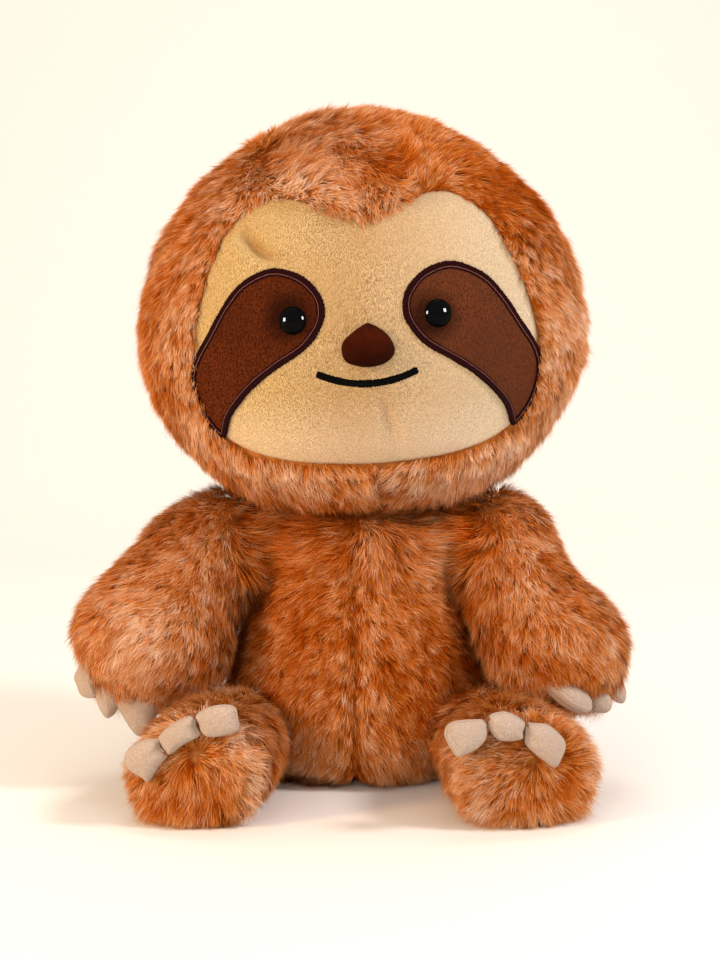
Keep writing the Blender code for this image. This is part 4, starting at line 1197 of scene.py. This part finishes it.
# Painted shade darkens the front seam and a painted highlight lightens the fur beside it; paler towards the floor
def torsoTone(spots):
    x, y, z = (spots / mm).T
    seam = (0.16 * hump(x, torso["seamX"] + 1, 7) - 0.40 * hump(x, torso["seamX"], 2.2)) * (y < 0)
    return 0.30 + seam + 0.20 * climb(z, 36, 16) + blots(spots, torso["blots"])


def torsoLength(spots):
    x, y, z = (spots / mm).T
    flanks = climb(np.abs(x), 30, 45) * climb(np.abs(z - 50), 35, 0)
    long = 1 + 0.9 * climb(z, 92, 104) + 0.35 * climb(z, 18, 6) + 0.35 * flanks
    return fur["length"] * long * (1 - 0.3 * hump(x, torso["seamX"], 4) * (y < 0))


def torsoLift(spots):
    x, _, z = (spots / mm).T
    shoulder = climb(z, 92, 104) * climb(np.abs(x), 14, 26)
    return fur["startLift"] + 16 * shoulder, fur["endLift"] + 45 * shoulder


growCoat("torso", "torso", torsoForm, torsoKeep, torsoComb, torsoTone, torsoLength, torsoLift, 2)


def neckKeep(spots):
    return spots[:, 2] / mm > neck["place"][2] + 4


def neckComb(spots, facing):
    return np.stack([spots[:, 0] * 20, spots[:, 1] * 20, np.full(len(spots), -1.0)], 1)


growCoat("neck", "neck", neckForm, neckKeep, neckComb, lambda spots: np.full(len(spots), neck["tone"]),
         lambda spots: np.full(len(spots), neck["pile"]), lambda spots: (fur["startLift"], fur["endLift"]), 7)


def growArm(side, sign):
    shoulder, slope, hand = armLine(side)

    # the top of the arm, on its inner side
    def armTop(local):
        return climb(-sign * local[:, 0], 0, 14) * climb(local @ slope, 20, 0)

    def nearClaw(spots, place):
        root = hand + np.array(place) * arms["hand"] * 0.85
        return hump(np.linalg.norm(spots / mm - root, axis=1), 0, 9)

    # down the arm, spreading over the hand, inward at the top, and over each claw's root
    def armComb(spots, facing):
        local = spots / mm - shoulder
        outward = unit(spots / mm - hand)
        nearHand = climb(local @ slope, 50, 80)[:, None]
        inner = armTop(local)[:, None]
        way = (slope + np.array([0.15 * sign, 0.0, -1.0]) * 0.5) * (1 - 0.6 * nearHand)
        way = (way + outward * 0.3 * nearHand) * (1 - inner) + np.array([-1.2 * sign, -0.2, 0.1]) * inner
        for (place, pointing, _, _), cover in zip(arms["claws"][side], arms["cover"][side]):
            way = way + nearClaw(spots, place)[:, None] * cover * 2 * np.array(pointing)
        return way

    # painted shade darkens the arm's top, under the head
    def armTone(spots):
        return 0.38 - 0.25 * armTop(spots / mm - shoulder) + blots(spots, arms["blots"][side])

    def armLength(spots):
        local = spots / mm - shoulder
        long = 1 + 0.15 * climb(-sign * local[:, 0], 0, 20) + 0.12 * climb(local @ slope, 20, 60)
        long = long + 0.9 * armTop(local)
        for (place, _, _, _), cover in zip(arms["claws"][side], arms["cover"][side]):
            long = long + nearClaw(spots, place) * cover
        return fur["length"] * long

    def armLift(spots):
        top = armTop(spots / mm - shoulder)
        return fur["startLift"] + 16 * top, fur["endLift"] + 50 * top

    growCoat("arm_" + side, "arm_" + side, armForms[side], everywhere, armComb, armTone, armLength, armLift,
             3 + sign)


def growLeg(side, sign):
    hip, forward, _ = legLine(side)

    # along and down the leg, and outward from the sole's middle
    def legComb(spots, facing):
        along = (spots / mm - hip) @ forward
        outward = unit(spots / mm - hip - along[:, None] * forward - [0, 0, 7])
        sole = climb(facing @ forward, 0.3, 0.7)[:, None]
        down = np.array([0.1 * sign, -0.2, -0.9]) + forward * 0.3
        return down * (1 - sole) + (outward + [0, 0, -0.45]) * sole

    # paler round the sole's rim
    def legTone(spots):
        local = spots / mm - hip
        along = local @ forward
        reach = np.linalg.norm(local - along[:, None] * forward, axis=1)
        rim = hump(reach, 20, 5) * (along > 50)
        return 0.42 + 0.14 * rim - 0.08 * (along < 46) + blots(spots, legs["blots"])

    def underFoot(spots):
        local = spots / mm - hip
        return climb(local[:, 2], -4, -14) * climb(local @ forward, 46, 56)

    def legLength(spots):
        return fur["length"] * (1.1 + 0.5 * underFoot(spots))

    def legLift(spots):
        return fur["startLift"], fur["endLift"] + 18 * underFoot(spots)

    growCoat("leg_" + side, "leg_" + side, legForms[side], everywhere, legComb, legTone, legLength, legLift,
             8 + sign)


for side, sign in sides.items():
    growArm(side, sign)
    growLeg(side, sign)


# Carried-over pieces, hidden under the fur
inside = {
    fibreMaterial: ["torso_stuffing", "head_stuffing", "arm_stuffing_left", "arm_stuffing_right",
                    "leg_stuffing_left", "leg_stuffing_right"],
    washerMaterial: ["eye_washer_left", "eye_washer_right"],
    pouchMaterial: ["pellet_pouch"],
    brownThread: ["neck_seam", "shoulder_seam_left", "shoulder_seam_right", "hip_seam_left", "hip_seam_right"],
}
for material, nodes in inside.items():
    for node in nodes:
        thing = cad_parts[node]
        thing.data.materials.clear()
        thing.data.materials.append(material)

# Stage: pale paper swept up behind the toy. Sizes in metres
sweep = {"near": -4.0, "bend": 0.7, "radius": 0.8, "top": 3.5, "half": 5}
profile = [(sweep["near"], 0.0), (sweep["bend"], 0.0)]
for turn in np.linspace(0, math.pi / 2, 33)[1:]:
    profile.append((sweep["bend"] + sweep["radius"] * math.sin(turn), sweep["radius"] * (1 - math.cos(turn))))
profile.append((sweep["bend"] + sweep["radius"], sweep["top"]))
bpy.ops.mesh.primitive_plane_add(size=1)
floor = bpy.context.object
shape = bmesh.new()
lines = [[shape.verts.new((x, y, z)) for y, z in profile] for x in (-sweep["half"], sweep["half"])]
for low in range(len(profile) - 1):
    shape.faces.new((lines[0][low], lines[1][low], lines[1][low + 1], lines[0][low + 1]))
shape.to_mesh(floor.data)
shape.free()
bpy.ops.object.shade_smooth()
floor.name = "paperSweep"
floorMaterial, shader = newMaterial("palePaper")
setInputs(floorMaterial, shader, {"Base Color": linear("EDEAE4"), "Roughness": 0.9, "Specular IOR Level": 0.1})
floor.data.materials.append(floorMaterial)

world = bpy.data.worlds.new("studio")
bpy.context.scene.world = world
world.use_nodes = True
backdrop = world.node_tree.nodes["Background"]
backdrop.inputs["Color"].default_value = linear("F4EFE8")
backdrop.inputs["Strength"].default_value = 0.66


def addLamp(name, place, aim, size, power, code):
    bpy.ops.object.light_add(type="AREA", location=place)
    lamp = bpy.context.object
    lamp.name = name
    lamp.data.size = size
    lamp.data.energy = power
    lamp.data.color = linear(code)[:3]
    lamp.rotation_euler = (Vector(aim) - Vector(place)).to_track_quat("-Z", "Y").to_euler()
    return lamp


for lamp in (addLamp("keyLamp", (-0.5, -1.35, 0.62), (0, 0, 0.15), 1.0, 7, "FFF4E6"),
             addLamp("windowLamp", (0.95, -0.40, 0.95), (0, 0, 0.18), 0.27, 12, "FFF2F0"),
             addLamp("leftLamp", (-1.05, -0.72, 0.56), (0, 0, 0.14), 0.25, 11, "FFD096")):
    lamp.visible_glossy = False
# Two windows that only the eyes mirror
mirrors = bpy.data.collections.new("eyeBeads")
for side in sides:
    mirrors.objects.link(bpy.data.objects["eye_bead_" + side])
for name, place in (("leftGlint", (-1.0, -0.54, 0.31)), ("rightGlint", (0.91, -0.60, 0.52))):
    glint = addLamp(name, place, (0, -0.07, 0.205), 0.34, 140, "FFFFFF")
    glint.light_linking.receiver_collection = mirrors
addLamp("backdropLamp", (0, 0.6, 2.4), (0, 1.4, 0.6), 1.2, 16, "FFFFFF")

# The photograph's camera. Its focal length and its height are in pixels
photo = {"place": (0, -0.790, 0.2005), "tilt": 85, "focal": 1750, "height": 960}
bpy.ops.object.camera_add(location=photo["place"], rotation=(math.radians(photo["tilt"]), 0, 0))
camera = bpy.context.object
camera.data.sensor_width = 36
camera.data.lens = camera.data.sensor_width * photo["focal"] / photo["height"]
camera.data.clip_start = 0.01
bpy.context.scene.camera = camera
bpy.context.scene.view_settings.view_transform = "Standard"
